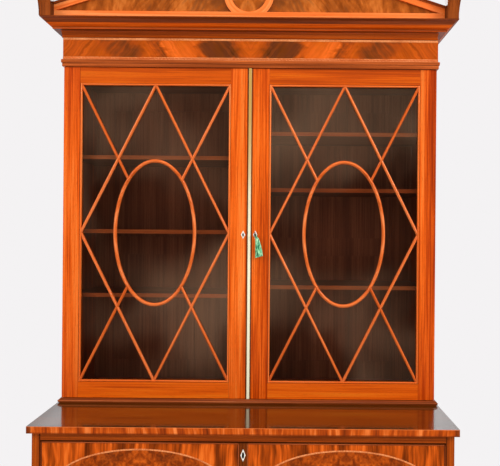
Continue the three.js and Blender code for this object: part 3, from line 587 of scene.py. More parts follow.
# A straight strip with its grain along it
def straightStrip(name, start, end, section, material, seed):
    mesh = strip(name, [start, end], False, section, material)
    along = (end - start).normalized()
    across = along.cross(Vector((0, 1, 0)))
    offsets = [vertex.co - start for vertex in mesh.vertices]
    return setGrain(mesh, [(u.dot(across) + seed * 0.31, u.y, u.dot(along) + seed * 1.9) for u in offsets])


# Four straight strips round a rectangle, each drawn out by the reach at both ends
def framing(name, left, right, bottom, top, front, reach, section, material, seed=0):
    corners = [Vector((x, front, z)) for x, z in ((left, bottom), (right, bottom), (right, top), (left, top))]
    meshes = []
    for index, (start, end) in enumerate(zip(corners, corners[1:] + corners[:1])):
        more = (end - start).normalized() * reach
        ends = (start - more, end + more)
        meshes.append(straightStrip(f"{name}_{index}", *ends, section, material, seed + index))
    return meshes


def joined(name, meshes):
    shape = bmesh.new()
    for mesh in meshes:
        shape.from_mesh(mesh)
    whole = meshOf(name, shape)
    whole.materials.append(next(material for material in meshes[0].materials if material))
    whole.polygons.foreach_set("material_index", [0] * len(whole.polygons))
    return whole


def mirrored(name, mesh):
    copy = mesh.copy()
    copy.name = name
    copy.transform(Matrix.Diagonal((-1, 1, 1, 1)))
    copy.flip_normals()
    return copy


print("tools ready")

# Grounds of the studio's light: (colour, strength). Lamps: (name, place, size, power).
studio = {
    "wall": (244, 242, 243),
    "light": ((1.0, 0.985, 0.965, 1), 0.88),
    "dim": ((1.0, 0.62, 0.40, 1), 0.05),
    "haze": ((1.0, 0.62, 0.38, 1), 2.0),
    "black": ((0, 0, 0, 1), 0.0),
    "lamps": [
        ("lamp_left", (-3.3, -2.4, 3.6), 2.2, 67),
        ("lamp_right", (3.5, -2.4, 3.5), 2.2, 116),
        ("lamp_top", (0.2, -0.8, 4.4), 2.0, 18),
        ("lamp_back", (0.4, 3.4, 3.0), 2.4, 70),
    ],
    "aim": (0, 0.1, 1.35),
    "floorRadius": 2.15,
}


# The room is bright above and ahead, dim with a vague haze where the glass mirrors it, and pale
# where the camera sees it. A direction's y is below 0 towards the camera's side.
def makeStudio():
    world = bpy.data.worlds.new("studio")
    bpy.context.scene.world = world
    world.use_nodes = True
    world.node_tree.nodes.clear()
    graph = Graph(world.node_tree)
    x, y, z = graph.split(graph.add("TexCoord", {}, 0))

    def ground(colour, strength):
        return graph.add("Background", {"Color": colour, "Strength": strength})

    def ray(kind):
        return graph.add("LightPath", {}, f"Is {kind} Ray")

    glossy = ray("Glossy")
    above = graph.step(z, -0.3, 0.9)
    ahead = 1 - graph.step(y, -0.85, -0.35)
    share = (above * 0.25 + ahead * 0.75 + 0.6) / 1.6
    shader = graph.mixShader(share, ground(*studio["black"]), ground(*studio["light"]))
    upper = graph.step(z, 0.0, 0.2) * 0.16
    lower = graph.step(z, -0.19, -0.10) * (1 - graph.step(z, -0.08, 0.0)) * 0.12
    room = graph.step(graph.noise((x, y, z), 2.0, 0.4, 6.5) * 0.6 + upper + lower, 0.29, 0.64)
    vague = graph.mixShader(room * ray("Singular"), ground(*studio["dim"]), ground(*studio["haze"]))
    facing = 1 - graph.step(y, -0.65, -0.2)
    shader = graph.mixShader(glossy * facing, shader, vague)
    behind = graph.step(y, 0.0, 0.3)
    pale = ground(tone(*studio["wall"]), 1.0)
    shader = graph.mixShader(ray("Camera") + glossy * behind, shader, pale)
    graph.add("OutputWorld", {"Surface": shader})
    for name, place, size, power in studio["lamps"]:
        data = bpy.data.lights.new(name, "AREA")
        data.shape, data.size, data.energy = "DISK", size, power
        lamp = linked(name, data)
        lamp.location = place
        lamp.rotation_euler = (Vector(studio["aim"]) - Vector(place)).to_track_quat("-Z", "Y").to_euler()


def makeFloor():
    radius = studio["floorRadius"]
    shape = bmesh.new()
    bmesh.ops.create_circle(shape, cap_ends=True, radius=radius, segments=96)
    floor = linked("floor", meshOf("floor", shape))
    material, graph = newFinish("pale_floor")
    x, y, z = graph.axes()
    away = graph.step((x * x + y * y) ** 0.5, radius * 0.6, radius * 0.98)
    grain = graph.noise((x, y, z), 3.0, 0.0, 3.0)
    colour = graph.tinted(tone(*studio["wall"]), (grain * 0.3, (226, 222, 222)))
    solid = graph.add("BsdfPrincipled", {"Base Color": colour, "Roughness": 0.9, "Specular IOR Level": 0.0})
    shader = graph.mixShader(away, solid, graph.add("BsdfTransparent"))
    graph.add("OutputMaterial", {"Surface": shader})
    floor.data.materials.append(material)


makeStudio()
makeFloor()
print("studio made")

# Pieces of the case as (wood, direction of its grain, seed)
carcassFinish = {
    "base_bottom": ("case", "x", 0.4),
    "dustboard": ("inner", "x", 0.2),
    "base_back": ("inner", "z", 0.6),
    "plinth": ("dark", "x", 0.3),
    "upper_bottom": ("case", "x", 0.8),
    "upper_top": ("inner", "x", 1.1),
    "upper_side_left": ("case", "z", 2.6),
    "upper_side_right": ("case", "z", 3.4),
    "upper_partition": ("inner", "z", 1.6),
    "upper_back": ("inner", "z", 2.1),
    "writing_drawer": ("inner", "x", 1.9),
    "pigeonholes": ("light", "x", 2.4),
}


# The shelves' front faces take a lighter wood, a painted highlight along their front edges
def dressCarcass():
    for name, finish in carcassFinish.items():
        wear(name, timber(*finish))
    material, graph = newFinish("shelf_wood")
    x, y, z = graph.axes()
    colour, height = straightFigure(graph, (y, z, x), "inner", 2.6, softness["inner"])
    # Painted highlight: a lighter wood on the shelves' front faces
    frontHighlight = straightFigure(graph, (y, z, x), "light", 4.2)[0]
    colour = graph.mixColour((graph.facing()[1] < -0.5) * 0.6, colour, frontHighlight)
    finishSurface(graph, colour, 0.5, height)
    for name in nodes:
        if name.startswith("shelf_"):
            wear(name, material)


baseShadow = {"rail": 0.0016, "side": 0.003}


# The front edges of the base are darker and plainer than its sides, with a shadow round the opening
def dressBaseFront():
    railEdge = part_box("top_rail")[0].z + baseShadow["rail"]
    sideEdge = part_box("base_side_right")[0].x + baseShadow["side"]
    for name in ("base_side_left", "base_side_right", "top_rail"):
        material, graph = newFinish(name + "_wood")
        x, y, z = graph.axes()
        lying = name == "top_rail"
        place = (y, z, x) if lying else (x, y, z)
        side, height = straightFigure(graph, place, "case", 0.1)
        front = straightFigure(graph, place, "front", 2.2)[0]
        colour = graph.mixColour(graph.facing()[1] < -0.5, side, front)
        shadow = z < railEdge if lying else abs(x) < sideEdge
        polished(graph, graph.tinted(colour, (shadow * 0.7, (50, 14, 2))), height, "case")
        wear(name, material)


ledge = {"underEdgeShade": 0.003, "darkEnd": 0.012, "arrisHighlight": 0.0016, "wornFrom": 0.50, "wornTo": 0.57}


# The ledge: a polished top, worn at its left end, with a crossbanded edge that has a painted shadow along its
# foot and a painted highlight along its top arris
def dressTopBoard():
    material, graph = newFinish("ledge_board")
    x, y, z = graph.axes()
    normalX, normalY, normalZ = graph.facing()
    low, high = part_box("base_top")
    surface, height = straightFigure(graph, (y, z, x), "top", 0.9)
    onSide = abs(normalX) > 0.5
    banded = crossbandColour(graph, x * (1 - onSide) + y * onSide, z, 5.0, "edge")[0]
    edge = (abs(normalZ) < 0.7) * (normalY < 0.5)
    colour = graph.tinted(
        graph.mixColour(edge, surface, banded),
        # painted shadow along the foot of the edge
        (edge * (z < low.z + ledge["underEdgeShade"]) * 0.6, (120, 44, 4)),
        (edge * (abs(x) > high.x - ledge["darkEnd"]) * 0.7, (92, 36, 8)),
        # painted highlight along the top arris of the edge
        ((z > high.z - ledge["arrisHighlight"]) * edge * 0.6, (236, 126, 64)),
    )
    roughness, coatRoughness, coat = polish["top"]
    worn = graph.step(x * -1, ledge["wornFrom"], ledge["wornTo"]) * 0.45
    coat = coat - worn - edge * 0.7
    finishSurface(graph, colour, edge * 0.14 + roughness, height, 0.05, 0.1, coat, coatRoughness)
    wear("base_top", material)


pediment = {
    "half": 0.570,
    "middle": -0.0036,
    "rakeMiddle": -0.0085,
    "ringX": -0.005,
    "bandHigh": 2.1545,
    "startInset": 0.009,
    "slope": 0.325,
    "bandHeight": 0.0179,
    "bandProud": 0.0057,
    "gap": 0.0003,
    "overlap": 0.0002,
    "ringZ": 2.207,
    "ringOuter": 0.073,
    "ringInner": 0.052,
    "ringDrop": 0.0004,
}


# A veneer with plain wood behind it
def dressVeneer(name, node, figure, plainSeed, roughness, coat, coatRoughness):
    material, graph = newFinish(name)
    x, y, z = graph.axes()
    colour, shade = figure(graph, (x, y, z))
    plain = straightFigure(graph, (y, z, x), "inner", plainSeed)[0]
    colour = graph.mixColour(graph.facing()[1] > 0.5, colour, plain)
    finishSurface(graph, colour, shade * 0.08 + roughness, shade, 0.06, 0.1, coat, coatRoughness)
    wear(node, material)


def friezeFigure(graph, place):
    x, y, z = place
    onSide = abs(graph.facing()[0]) > 0.5
    return friezeColour(graph, abs(x) * (1 - onSide) + (y + 1.3) * onSide, z)


def tympanumFigure(graph, place):
    return flameColour(graph, abs(place[0] - pediment["rakeMiddle"]), place[2], 3.3, "pediment", 1.6)


dressCarcass()
dressBaseFront()
dressTopBoard()
dressVeneer("frieze_veneer", "frieze", friezeFigure, 1.4, 0.24, 0.35, 0.1)
dressVeneer("pediment_veneer", "tympanum", tympanumFigure, 2.6, 0.26, 0.3, 0.12)
print("carcass dressed")

doorSizes = {
    "meetingStile": 0.052,
    "outerStile": 0.0478,
    "rail": 0.0465,
    "jointLine": 0.0004,
    "stripShadow": 0.0036,
    "shadedHead": 0.24,
    "shadedFoot": 0.3,
    "barWidth": 0.0077,
    "barDepth": 0.008,
    "barSetback": 0.0008,
    "ovalWidth": 0.0096,
    "ovalProud": 0.0006,
    "ovalHalfX": 0.1175,
    "ovalHalfZ": 0.2128,
    "beadWidth": 0.0046,
    "beadProud": 0.0008,
    "beadGap": 0.0008,
}


# Stiles and rails: upright and lying grain, darker stiles, golden rails and fine lines at the joints, with
# painted shade towards the stiles' top and foot and a painted shadow beside the brass strip
def dressDoorFrames():
    sizes = doorSizes
    material, graph = newFinish("door_frame_wood")
    x, y, z = graph.axes()
    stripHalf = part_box("meeting_strip")[1].x
    inner, outer = stripHalf + sizes["meetingStile"], caseHalf - sizes["outerStile"]
    low, high = (corner.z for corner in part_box("door_frame_right"))
    reach = abs(x)
    meeting = reach < inner
    rail = (reach > inner) * (reach < outer)
    place = graph.mixVector(rail, (x + (x > outer) * 0.7, y, z), (z + 3.1, y, x))
    colour, height = straightFigure(graph, place, "door", 0.37, 0.165, (0.34, 0.32, 0.34))
    # painted shade: the stiles darken towards their top and their foot
    head = graph.step(z, high - sizes["shadedHead"], high)
    foot = 1 - graph.step(z, low, low + sizes["shadedFoot"])
    joint = (abs(reach - inner) < sizes["jointLine"]) + (abs(reach - outer) < sizes["jointLine"])
    colour = graph.tinted(
        colour,
        (rail * 0.9, (245, 230, 96), "MULTIPLY"),
        ((1 - rail) * (1 - meeting) * 0.55, (236, 222, 200), "MULTIPLY"),
        (rail * 0.35, (222, 96, 14)),
        (rail * (z > (low + high) / 2) * 0.9, (232, 232, 190), "MULTIPLY"),
        (head * (1 - rail) * 0.6, (232, 214, 180), "MULTIPLY"),
        (foot * (1 - rail) * 0.8, (240, 226, 190), "MULTIPLY"),
        # painted shadow beside the brass strip
        ((reach < stripHalf + sizes["stripShadow"]) * 0.8, (96, 36, 6)),
        (joint * 0.6, (96, 32, 8)),
    )
    polished(graph, colour, height - joint, "door")
    for _, word in sides:
        wear(f"door_frame_{word}", material)


# The points of one edge of a section, (out, across), on both sides of its middle
def bothSides(edge, nose=()):
    return [(out, -across) for out, across in edge] + [*nose] + edge[::-1]


# The section of a bar: a rounded nose on a square body
def astragal(width, setback, depth):
    half = width / 2
    shoulder = half * 0.72
    back, floor = -setback - depth, -setback - shoulder
    nose = arc(floor, 0, shoulder, -90, 90, 8)[1:-1]
    return bothSides([(back, half), (floor, half), (floor, shoulder)], nose)


# Made for the right door and mirrored for the left
def makeGlazing():
    sizes = doorSizes
    low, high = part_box("door_frame_right")
    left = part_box("meeting_strip")[1].x + sizes["meetingStile"]
    right = high.x - sizes["outerStile"]
    bottom, top = low.z + sizes["rail"], high.z - sizes["rail"]
    middleX, middleZ = (left + right) / 2, (bottom + top) / 2
    reach = sizes["beadWidth"] / 2
    edge = reach + sizes["beadGap"]
    halfX, halfZ = (right - left) / 2 - edge, (top - bottom) / 2 - edge
    slope = halfZ / halfX
    meetX = 1 / math.hypot(1 / sizes["ovalHalfX"], slope / sizes["ovalHalfZ"])
    wood = timber("bar", "grain")
    section = astragal(sizes["barWidth"], sizes["barSetback"], sizes["barDepth"])
    bars = []
    for acrossSign in (1, -1):
        for upSign in (1, -1):
            diagonal = ((acrossSign * halfX, upSign * halfZ), (acrossSign * meetX, upSign * slope * meetX))
            lozenge = ((0, upSign * halfZ), (acrossSign * halfX, 0))
            for ends in (diagonal, lozenge):
                start, end = (Vector((middleX + u, doorFront, middleZ + v)) for u, v in ends)
                bars.append(straightStrip(f"bar_{len(bars)}", start, end, section, wood, len(bars)))
    proud = sizes["ovalProud"]
    section = astragal(sizes["ovalWidth"], sizes["barSetback"] - proud, sizes["barDepth"] + proud)
    path = ellipse(middleX, middleZ, sizes["ovalHalfX"], sizes["ovalHalfZ"], doorFront, 96)
    oval = strip("oval", path, True, section, wood)
    grain = []
    for vertex in oval.vertices:
        x, z = vertex.co.x - middleX, vertex.co.z - middleZ
        grain.append((math.hypot(x, z), vertex.co.y, abs(math.atan2(x, z)) * 0.17 + 7))
    setGrain(oval, grain)
    proud = sizes["beadProud"]
    section = astragal(sizes["beadWidth"], -proud, sizes["barDepth"] + 2 * proud)
    ends = (middleX - halfX, middleX + halfX, middleZ - halfZ, middleZ + halfZ)
    beads = framing("bead", *ends, doorFront, reach, section, timber("light", "grain", 0.7), 20)
    for name, parts in (("glazing_moulding", [*bars, oval]), ("sight_bead", beads)):
        right = joined(name, parts)
        for word, mesh in (("right", right), ("left", mirrored(f"{name}_left", right))):
            addPiece(f"{name}_{word}", mesh, f"{word}_door", [f"glazing_bars_{word}"])


def dressGlass():
    material, graph = newFinish("old_glass")
    waves = graph.noise(graph.stretch(graph.place(), (7, 7, 3)), 1.0)
    normal = graph.add("Bump", {"Strength": 0.2, "Distance": 0.004, "Height": waves})
    clear = graph.add("BsdfTransparent", {"Color": (0.95, 0.92, 0.90, 1)})
    shine = graph.add("BsdfGlossy", {"Color": (1, 1, 1, 1), "Roughness": 0.0, "Normal": normal})
    facing = graph.add("Fresnel", {"IOR": 1.45, "Normal": normal})
    graph.add("OutputMaterial", {"Surface": graph.mixShader(facing, clear, shine)})
    for _, word in sides:
        wear(f"glass_{word}", material)


dressDoorFrames()
makeGlazing()
dressGlass()
print("glass doors made")


# A moulding mitred round the front and both sides. Its section is (projection, height, part) from
# the bottom round to the top; the part is that of the stretch after the point, with a wood and a seed.
def wrapMoulding(name, section, woodOfPart, node, middle=0.0):
    stations = [
        (-caseHalf, caseBack, -1, 0),
        (-caseHalf, doorFront, -1, -1),
        (caseHalf, doorFront, 1, -1),
        (caseHalf, caseBack, 1, 0),
    ]
    girths = [0.0]
    for start, end in zip(section, section[1:]):
        girths.append(girths[-1] + math.dist(start[:2], end[:2]))
    rings, grain, travelled = [], [], 0.0
    for index, (x, y, outX, outY) in enumerate(stations):
        if index:
            travelled += math.dist((x, y), stations[index - 1][:2])
        rings.append([(middle + x + outX * out, y + outY * out, height) for out, height, _ in section])
        grain += [(girth, point[0], travelled) for point, girth in zip(section, girths)]
    materials = [timber(wood, "grain", seed) for wood, seed in woodOfPart.values()]
    bands = [list(woodOfPart).index(part) for _, _, part in section]
    mesh = loft(name, rings, materials, grain, bands, 40)
    addPiece(name, mesh, "case", [node])


def raised(level, part, points):  # points of a part, with their heights above a level
    return [(out, level + height, part) for out, height in points]


corniceSizes = {
    "foot": 0.0003,
    "hollowLow": 0.0031,
    "coronaLow": 0.0192,
    "middle": -0.0023,
    "hollowSteps": 12,
    "waveSteps": 20,
    "lightSteps": 9,
}
corniceWoods = {
    "soffit": ("dark", 0.2),
    "hollow": ("case", 1.1),
    "corona": ("dark", 2.7),
    # painted highlight: the small edge steps take the light cyma wood
    "edge": ("cyma", 3.1),
    "wave": ("cove", 4.3),
    "fillet": ("fillet", 5.5),
}


# From below: a hollow, the square corona, a wave and a fillet. The small edge steps carry a painted
# highlight.
def makeCornice():
    sizes = corniceSizes
    foot, hollowLow = friezeHigh + sizes["foot"], friezeHigh + sizes["hollowLow"]
    corona = friezeHigh + sizes["coronaLow"]
    section = raised(foot, "soffit", [(-0.022, 0), (0.0042, 0)]) + [(0.0048, foot + 0.0012, "edge")]
    section.append((0.0042, hollowLow, "hollow"))
    for step in range(1, sizes["hollowSteps"]):
        turn = math.radians(90 * step / sizes["hollowSteps"])
        rise = (corona - hollowLow) * math.sin(turn)
        section.append((0.008 - 0.0045 * math.cos(turn), hollowLow + rise, "hollow"))
    section += raised(corona, "soffit", [(0.008, 0)])
    section += raised(corona, "edge", [(0.0245, 0), (0.0252, 0.0006)])
    section += raised(corona, "corona", [(0.0252, 0.0018)])
    section += raised(corona, "edge", [(0.0250, 0.0060)]) + raised(corona, "wave", [(0.0258, 0.0068)])
    start, end = (0.0275, corona + 0.0074), (0.0532, corniceTop - 0.0036)
    for step in range(sizes["waveSteps"]):
        share = step / sizes["waveSteps"]
        lift = (1 - math.cos(share * math.pi)) / 2
        out, height = start[0] + (end[0] - start[0]) * share, start[1] + (end[1] - start[1]) * lift
        section.append((out, height, "wave" if step < sizes["lightSteps"] else "soffit"))
    section += raised(corniceTop, "fillet", [(0.0532, -0.0032), (0.0537, -0.0028), (0.0537, -0.0004)])
    section += raised(corniceTop, "soffit", [(0.0533, 0), (-0.022, 0)])
    wrapMoulding("cornice_moulding", section, corniceWoods, "cornice", sizes["middle"])


friezeBead = {
    "back": -0.0057,
    "lowOut": 0.005,
    "quirk": 0.0002,
    "highOut": 0.0075,
    "corner": 0.0012,
    "shoulder": 0.002,
    "flat": 0.0026,
}


# Two steps with rounded corners
def makeFriezeBead():
    low, high = (corner.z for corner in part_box("frieze_bead"))
    back, lowOut, quirk, highOut, corner, shoulder, flat = friezeBead.values()
    middle = (low + high) / 2
    lower = [(back, low), *arc(lowOut - corner, low + corner, corner, -90, 0, 4)]
    lower.append((lowOut, middle - corner / 2))
    upper = [(lowOut + quirk, middle), *arc(highOut - corner, middle + corner, corner, -90, 0, 4)]
    upper += [(highOut, high - flat), *arc(highOut - shoulder, high - shoulder, shoulder, 0, 90, 6)[1:]]
    section = [(*point, "low") for point in lower] + [(*point, "high") for point in upper]
    section.append((back, high, "low"))
    woodOfPart = {"low": ("bead", 5.2), "high": ("bead", 6.1)}
    wrapMoulding("frieze_bead_moulding", section, woodOfPart, "frieze_bead")


# A nose under a hollow slope
def makeWaistBead():
    low, high = (corner.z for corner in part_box("waist_moulding"))
    nose = low + 0.0062
    section = raised(low, "foot", [(0, 0), (0.0058, 0), (0.0066, 0.0012)])
    section += raised(low, "nose", [(0.0082, 0.0036)])
    section += raised(nose, "nose", [(0.0092, -0.0012), (0.0095, 0), (0.0091, 0.0012)])
    section += raised(nose, "slope", [(0.0084, 0.0020), (0.0062, 0.0036), (0.0044, 0.0054)])
    section += raised(high, "slope", [(0.0034, -0.0008), (0.0030, -0.0002), (0.0024, 0), (0, 0)])
    woodOfPart = {"slope": ("fillet", 7.3), "nose": ("waist", 8.4), "foot": ("dark", 7.9)}
    wrapMoulding("waist_bead", section, woodOfPart, "waist_moulding")


makeCornice()
makeFriezeBead()
makeWaistBead()
print("mouldings made")


def annulus(name, x, z, inner, outer, front, back, material):
    corners = ((inner, front), (outer, front), (outer, back), (inner, back))
    rings, grain = [], []
    for turn in turnsOf(72):
        rings.append([(x + radius * math.cos(turn), y, z + radius * math.sin(turn)) for radius, y in corners])
        grain += [(radius, y, abs(turn - math.pi) * outer + 5) for radius, y in corners]
    return loft(name, rings, [material], grain, closed=True)


# The dark capping of one slope: a small ovolo over a fillet, cut plumb at the apex and the end
def rakingCap(name, line, front, back, height, material, side):
    recess, ovolo = front + 0.003, 0.0034
    profile = [(recess, 0), (recess, height * 0.28)]
    for turn in (20, 45, 70, 90):
        lift = height * (0.32 + 0.4 * turn / 90)
        profile.append((front + ovolo - ovolo * math.sin(math.radians(turn)), lift))
    profile += [(front, height * 0.96), (front + 0.0003, height), (back, height), (back, 0)]
    rings = [[(x, y, z + lift) for y, lift in profile] for x, z in line]
    grain = [(y + lift, lift, end * abs(line[0][0]) + side) for end in (0, 1) for y, lift in profile]
    return loft(name, rings, [material], grain, smooth=40)


# A level band, two raking bands with dark cappings, and a ring over their middle
def makePediment():
    sizes = pediment
    low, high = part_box("pediment_moulding")
    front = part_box("tympanum")[0].y
    bandFront, bandBack = front - sizes["bandProud"], front - sizes["gap"]
    slope, middle, overlap = sizes["slope"], sizes["rakeMiddle"], sizes["overlap"]
    ends = (sizes["middle"] - sizes["half"], sizes["middle"] + sizes["half"])
    levelHigh = sizes["bandHigh"] - overlap
    apexLow = sizes["bandHigh"] + slope * (sizes["half"] - sizes["startInset"])
    apexHigh = apexLow + sizes["bandHeight"]
    light, dark = timber("light", "grain", 9.1), timber("dark", "grain", 10.3)
    outline = [(ends[0], low.z), (ends[1], low.z), (ends[1], levelHigh), (ends[0], levelHigh)]
    bands = [flatShape("level_band", outline, bandFront, bandBack, light, (1, 0), 1)]
    caps = []
    for (side, _), end in zip(sides, ends):
        endLow = apexLow - slope * abs(end - middle)
        endHigh = endLow + sizes["bandHeight"]
        outline = [(end, endLow), (end, endHigh), (middle, apexHigh), (middle, apexLow)]
        along = (-side, slope)
        bands.append(flatShape("raking_band", outline, bandFront - overlap, bandBack, light, along, 3 + side))
        line = [(end, endHigh), (middle, apexHigh)]
        caps.append(rakingCap(f"cap_{side}", line, low.y, high.y, high.z - apexHigh, dark, side))
    radii = (sizes["ringInner"], sizes["ringOuter"])
    ringFront = bandFront + sizes["ringDrop"]
    bands.append(annulus("ring_band", sizes["ringX"], sizes["ringZ"], *radii, ringFront, bandBack, light))
    addPiece("pediment_bands", bands, "case", ["pediment_moulding"])
    addPiece("pediment_cap", caps, "case", ["pediment_moulding"])


# The flare of a corner block, outwards and to the front, as (share of its height, flare)
blockFlare = [
    (0.0, 0.0), (0.2, 0.0002), (0.45, 0.0016), (0.65, 0.0034),
    (0.76, 0.0046), (0.78, 0.0056), (1.0, 0.0056),
]


def makeBlocks():
    material, graph = newFinish("block_wood")
    x, y, z = graph.axes()
    normalX = graph.facing()[0]
    colour, height = straightFigure(graph, (x, y, z), "block", 4.1)
    # Painted shade on the blocks' inner side faces
    shadedInward = (x > 0) * (normalX < -0.5) + (x < 0) * (normalX > 0.5)
    colour = graph.tinted(colour, (shadedInward * 0.8, (120, 96, 70), "MULTIPLY"))
    polished(graph, colour, height, "block")
    for side, word in sides:
        low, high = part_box(f"corner_block_{word}")
        inner, outer = sorted((abs(low.x), abs(high.x)))
        rings = []
        for share, flare in blockFlare:
            near, far = (side * reach + pediment["middle"] for reach in (inner, outer + flare))
            front, z = low.y - flare, corniceTop + (high.z - corniceTop) * share
            rings.append([(near, front, z), (far, front, z), (far, high.y, z), (near, high.y, z)])
        mesh = loft(f"block_{word}", rings, [material])
        addPiece(f"block_{word}", mesh, "case", [f"corner_block_{word}"])


makePediment()
makeBlocks()
print("pediment made")

lineProud, lineDepth = 0.0003, 0.0004
friezeFront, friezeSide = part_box("frieze")[0].y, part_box("frieze")[1].x
friezeLines = {
    "topWidth": 0.0062,
    "topGap": 0.0004,
    "ropeWidth": 0.0075,
    "ropeGap": 0.0005,
    "pitch": 0.0042,
    "block": 0.0019,
    "tallShare": 0.72,
    "thick": 0.0003,
    "slant": 0.55,
    "endGap": 0.002,
}


# The section of a flat inlaid line, a hair proud of its board
def flatLine(width):
    half = width / 2
    return bothSides([(-lineDepth, half), (lineProud * 0.6, half), (lineProud, half * 0.8)])


# A line along the front and both sides of the frieze
def friezeRun(name, height, width):
    front, side = friezeFront, friezeSide
    path = [(-side - lineProud, front, height), (side + lineProud, front, height)]
    meshes = [strip(name + "_front", path, False, flatLine(width), stringing)]
    for sign in (1, -1):
        path = [(sign * side, front - lineProud, height), (sign * side, caseBack, height)]
        meshes.append(strip(name + "_side", path, False, flatLine(width), stringing, (sign, 0, 0)))
    addPiece(name, meshes, "case")


# Dark slanted blocks laid end to end over the light line, as rope stringing is
def makeRope(height):
    sizes = friezeLines
    sockets = {"Geometry": "Geometry", "Pitch": "Float", "Block": "Vector", "Slant": "Vector"}
    sockets["Finish"] = "Material"
    tree, keys, graph, (path, pitch, size, slant, finish) = newTree("rope_stringing", sockets)
    line = graph.add("MeshToCurve", {"Mesh": path})
    points = graph.add("CurveToPoints", {"Curve": line, "Length": pitch}, mode="LENGTH")
    block = graph.add("MeshCube", {"Size": size})
    placed = graph.add("InstanceOnPoints", {"Points": points, "Instance": block, "Rotation": slant})
    endTree(graph, placed, finish)
    front, side = friezeFront, friezeSide
    thick, wide, tall = sizes["thick"], sizes["block"], sizes["ropeWidth"] * sizes["tallShare"]
    gap, slant, y = sizes["endGap"], sizes["slant"], front - lineProud
    path = [(-side + gap, y, height), (side - gap, y, height)]
    runs = [(path, (wide, thick, tall), (0, slant, 0))]
    for sign in (1, -1):
        x = sign * (side + lineProud)
        path = [(x, front + gap, height), (x, caseBack - gap, height)]
        runs.append((path, (thick, wide, tall), (slant, 0, 0)))
    meshes = []
    for index, (path, size, slant) in enumerate(runs):
        values = (sizes["pitch"], size, slant, timber("cove", "x", 3.3))
        meshes.append(grown(polyline(f"rope_{index}", path), tree, keys, values, f"rope_{index}"))
    addPiece("rope_blocks", meshes, "case")


lineWidth, ropeWidth = friezeLines["topWidth"], friezeLines["ropeWidth"]
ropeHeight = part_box("frieze_bead")[1].z + friezeLines["ropeGap"] + ropeWidth / 2
friezeRun("frieze_stringing", friezeHigh - lineWidth / 2 - friezeLines["topGap"], lineWidth)
friezeRun("rope_ground", ropeHeight, ropeWidth)
makeRope(ropeHeight)
print("frieze lines made")

# The oval fields of the fall and the cupboard doors, and what they share
fields = {
    "fall": {"inner": 0.0106, "plain": 0.0106, "edge": 0.0008, "ovalHalfX": 0.222, "ovalHalfZ": 0.093},
    "cupboard": {"inner": 0.0135, "plain": 0.0022, "edge": 0.0125, "ovalHalfX": 0.196, "ovalHalfZ": 0.232},
    "line": 0.004,
    "bead": 0.0026,
    "beadProud": 0.0013,
    "face": 0.001,
    "gapShadow": 0.0014,
}


# The field on one side of a board, as (x low, x high, z low, z high)
def fieldOf(kind, low, high, side):
    sizes = fields[kind]
    span = sorted((side * sizes["inner"], side * (max(abs(low.x), abs(high.x)) - sizes["edge"])))
    return (*span, low.z + sizes["edge"], high.z - sizes["edge"])


# Flame veneer in an oval, crossbanding round it and plain wood on every other face, with a painted shadow
# along the front's top and bottom edges
def fieldFinish(kind, low, high):
    sizes = fields[kind]
    material, graph = newFinish(f"{kind}_front")
    x, y, z = graph.axes()
    left, right, bottom, top = fieldOf(kind, low, high, 1)
    middleX, middleZ = (left + right) / 2, (bottom + top) / 2
    u, v = (abs(x) - middleX) / sizes["ovalHalfX"], (z - middleZ) / sizes["ovalHalfZ"]
    inside = (u * u + v * v) < 1
    side = abs(abs(x) - middleX) + 0.03
    inner = flameColour(graph, side, z + (x > 0) * 1.7, 6.1, "drawer", 1.1)[0]
    mottle = graph.step(graph.noise((side * 90, z * 70, 4.0), 5.0, 0.8), 0.30, 0.68)
    inner = graph.mixColour(0.5, inner, graph.ramp(mottle, flames["drawer"]))
    outer, banded = crossbandColour(graph, x, z, 2.0)
    plain = straightFigure(graph, (x, y, z), "block", 2.2)[0]
    onFace = y < low.y + fields["face"]
    veneered = onFace * (abs(x) > sizes["plain"])
    colour = graph.mixColour(veneered, plain, graph.mixColour(inside, outer, inner))
    # painted shadow of the gap along the board's top and bottom edges
    gapShadow = (abs(z - middleZ) > (top - bottom) / 2 + sizes["edge"] - fields["gapShadow"]) * onFace
    colour = graph.tinted(colour, (gapShadow * 0.8, (44, 14, 2)))
    finishSurface(graph, colour, banded * 0.06 + 0.28, banded, 0.05, 0.1, 0.22, 0.14)
    return material


# The beads, dark at the outer sides of the board
def beadFinish(kind, low, high):
    material, graph = newFinish(f"{kind}_bead_wood")
    right = fieldOf(kind, low, high, 1)[1]
    colour, height = straightFigure(graph, graph.grain(), "waist", 12.5)
    outer = abs(graph.axes()[0]) > right - fields["bead"]
    colour = graph.tinted(colour, (outer * 0.75, (64, 24, 8)))
    finishSurface(graph, colour, 0.4, height, 0.12, 0.1, 0.15, 0.16)
    return material


# The bead round one field and its oval line
def makeField(kind, side, word, body, low, high, wood):
    sizes, half, proud = fields[kind], fields["bead"] / 2, fields["beadProud"]
    left, right, bottom, top = fieldOf(kind, low, high, side)
    if kind == "cupboard":  # a flush line, because a bead would catch the case as the door turns
        section = flatLine(fields["bead"])
    else:
        nose = [(min(out, proud), across) for out, across in arc(proud / 2, 0, half, -75, 75, 6)]
        section = [(-lineDepth, -half), (proud / 2, -half), *nose, (proud / 2, half), (-lineDepth, half)]
    edges = (left + half, right - half, bottom + half, top - half)
    bead = framing(f"{kind}_{word}", *edges, low.y, half, section, wood)
    addPiece(f"{kind}_cockbead_{word}", bead, body)
    middle = ((left + right) / 2, (bottom + top) / 2)
    path = ellipse(*middle, sizes["ovalHalfX"], sizes["ovalHalfZ"], low.y, 120)
    line = strip(f"{kind}_{word}_oval", path, True, flatLine(fields["line"]), stringing)
    addPiece(f"{kind}_oval_{word}", line, body)


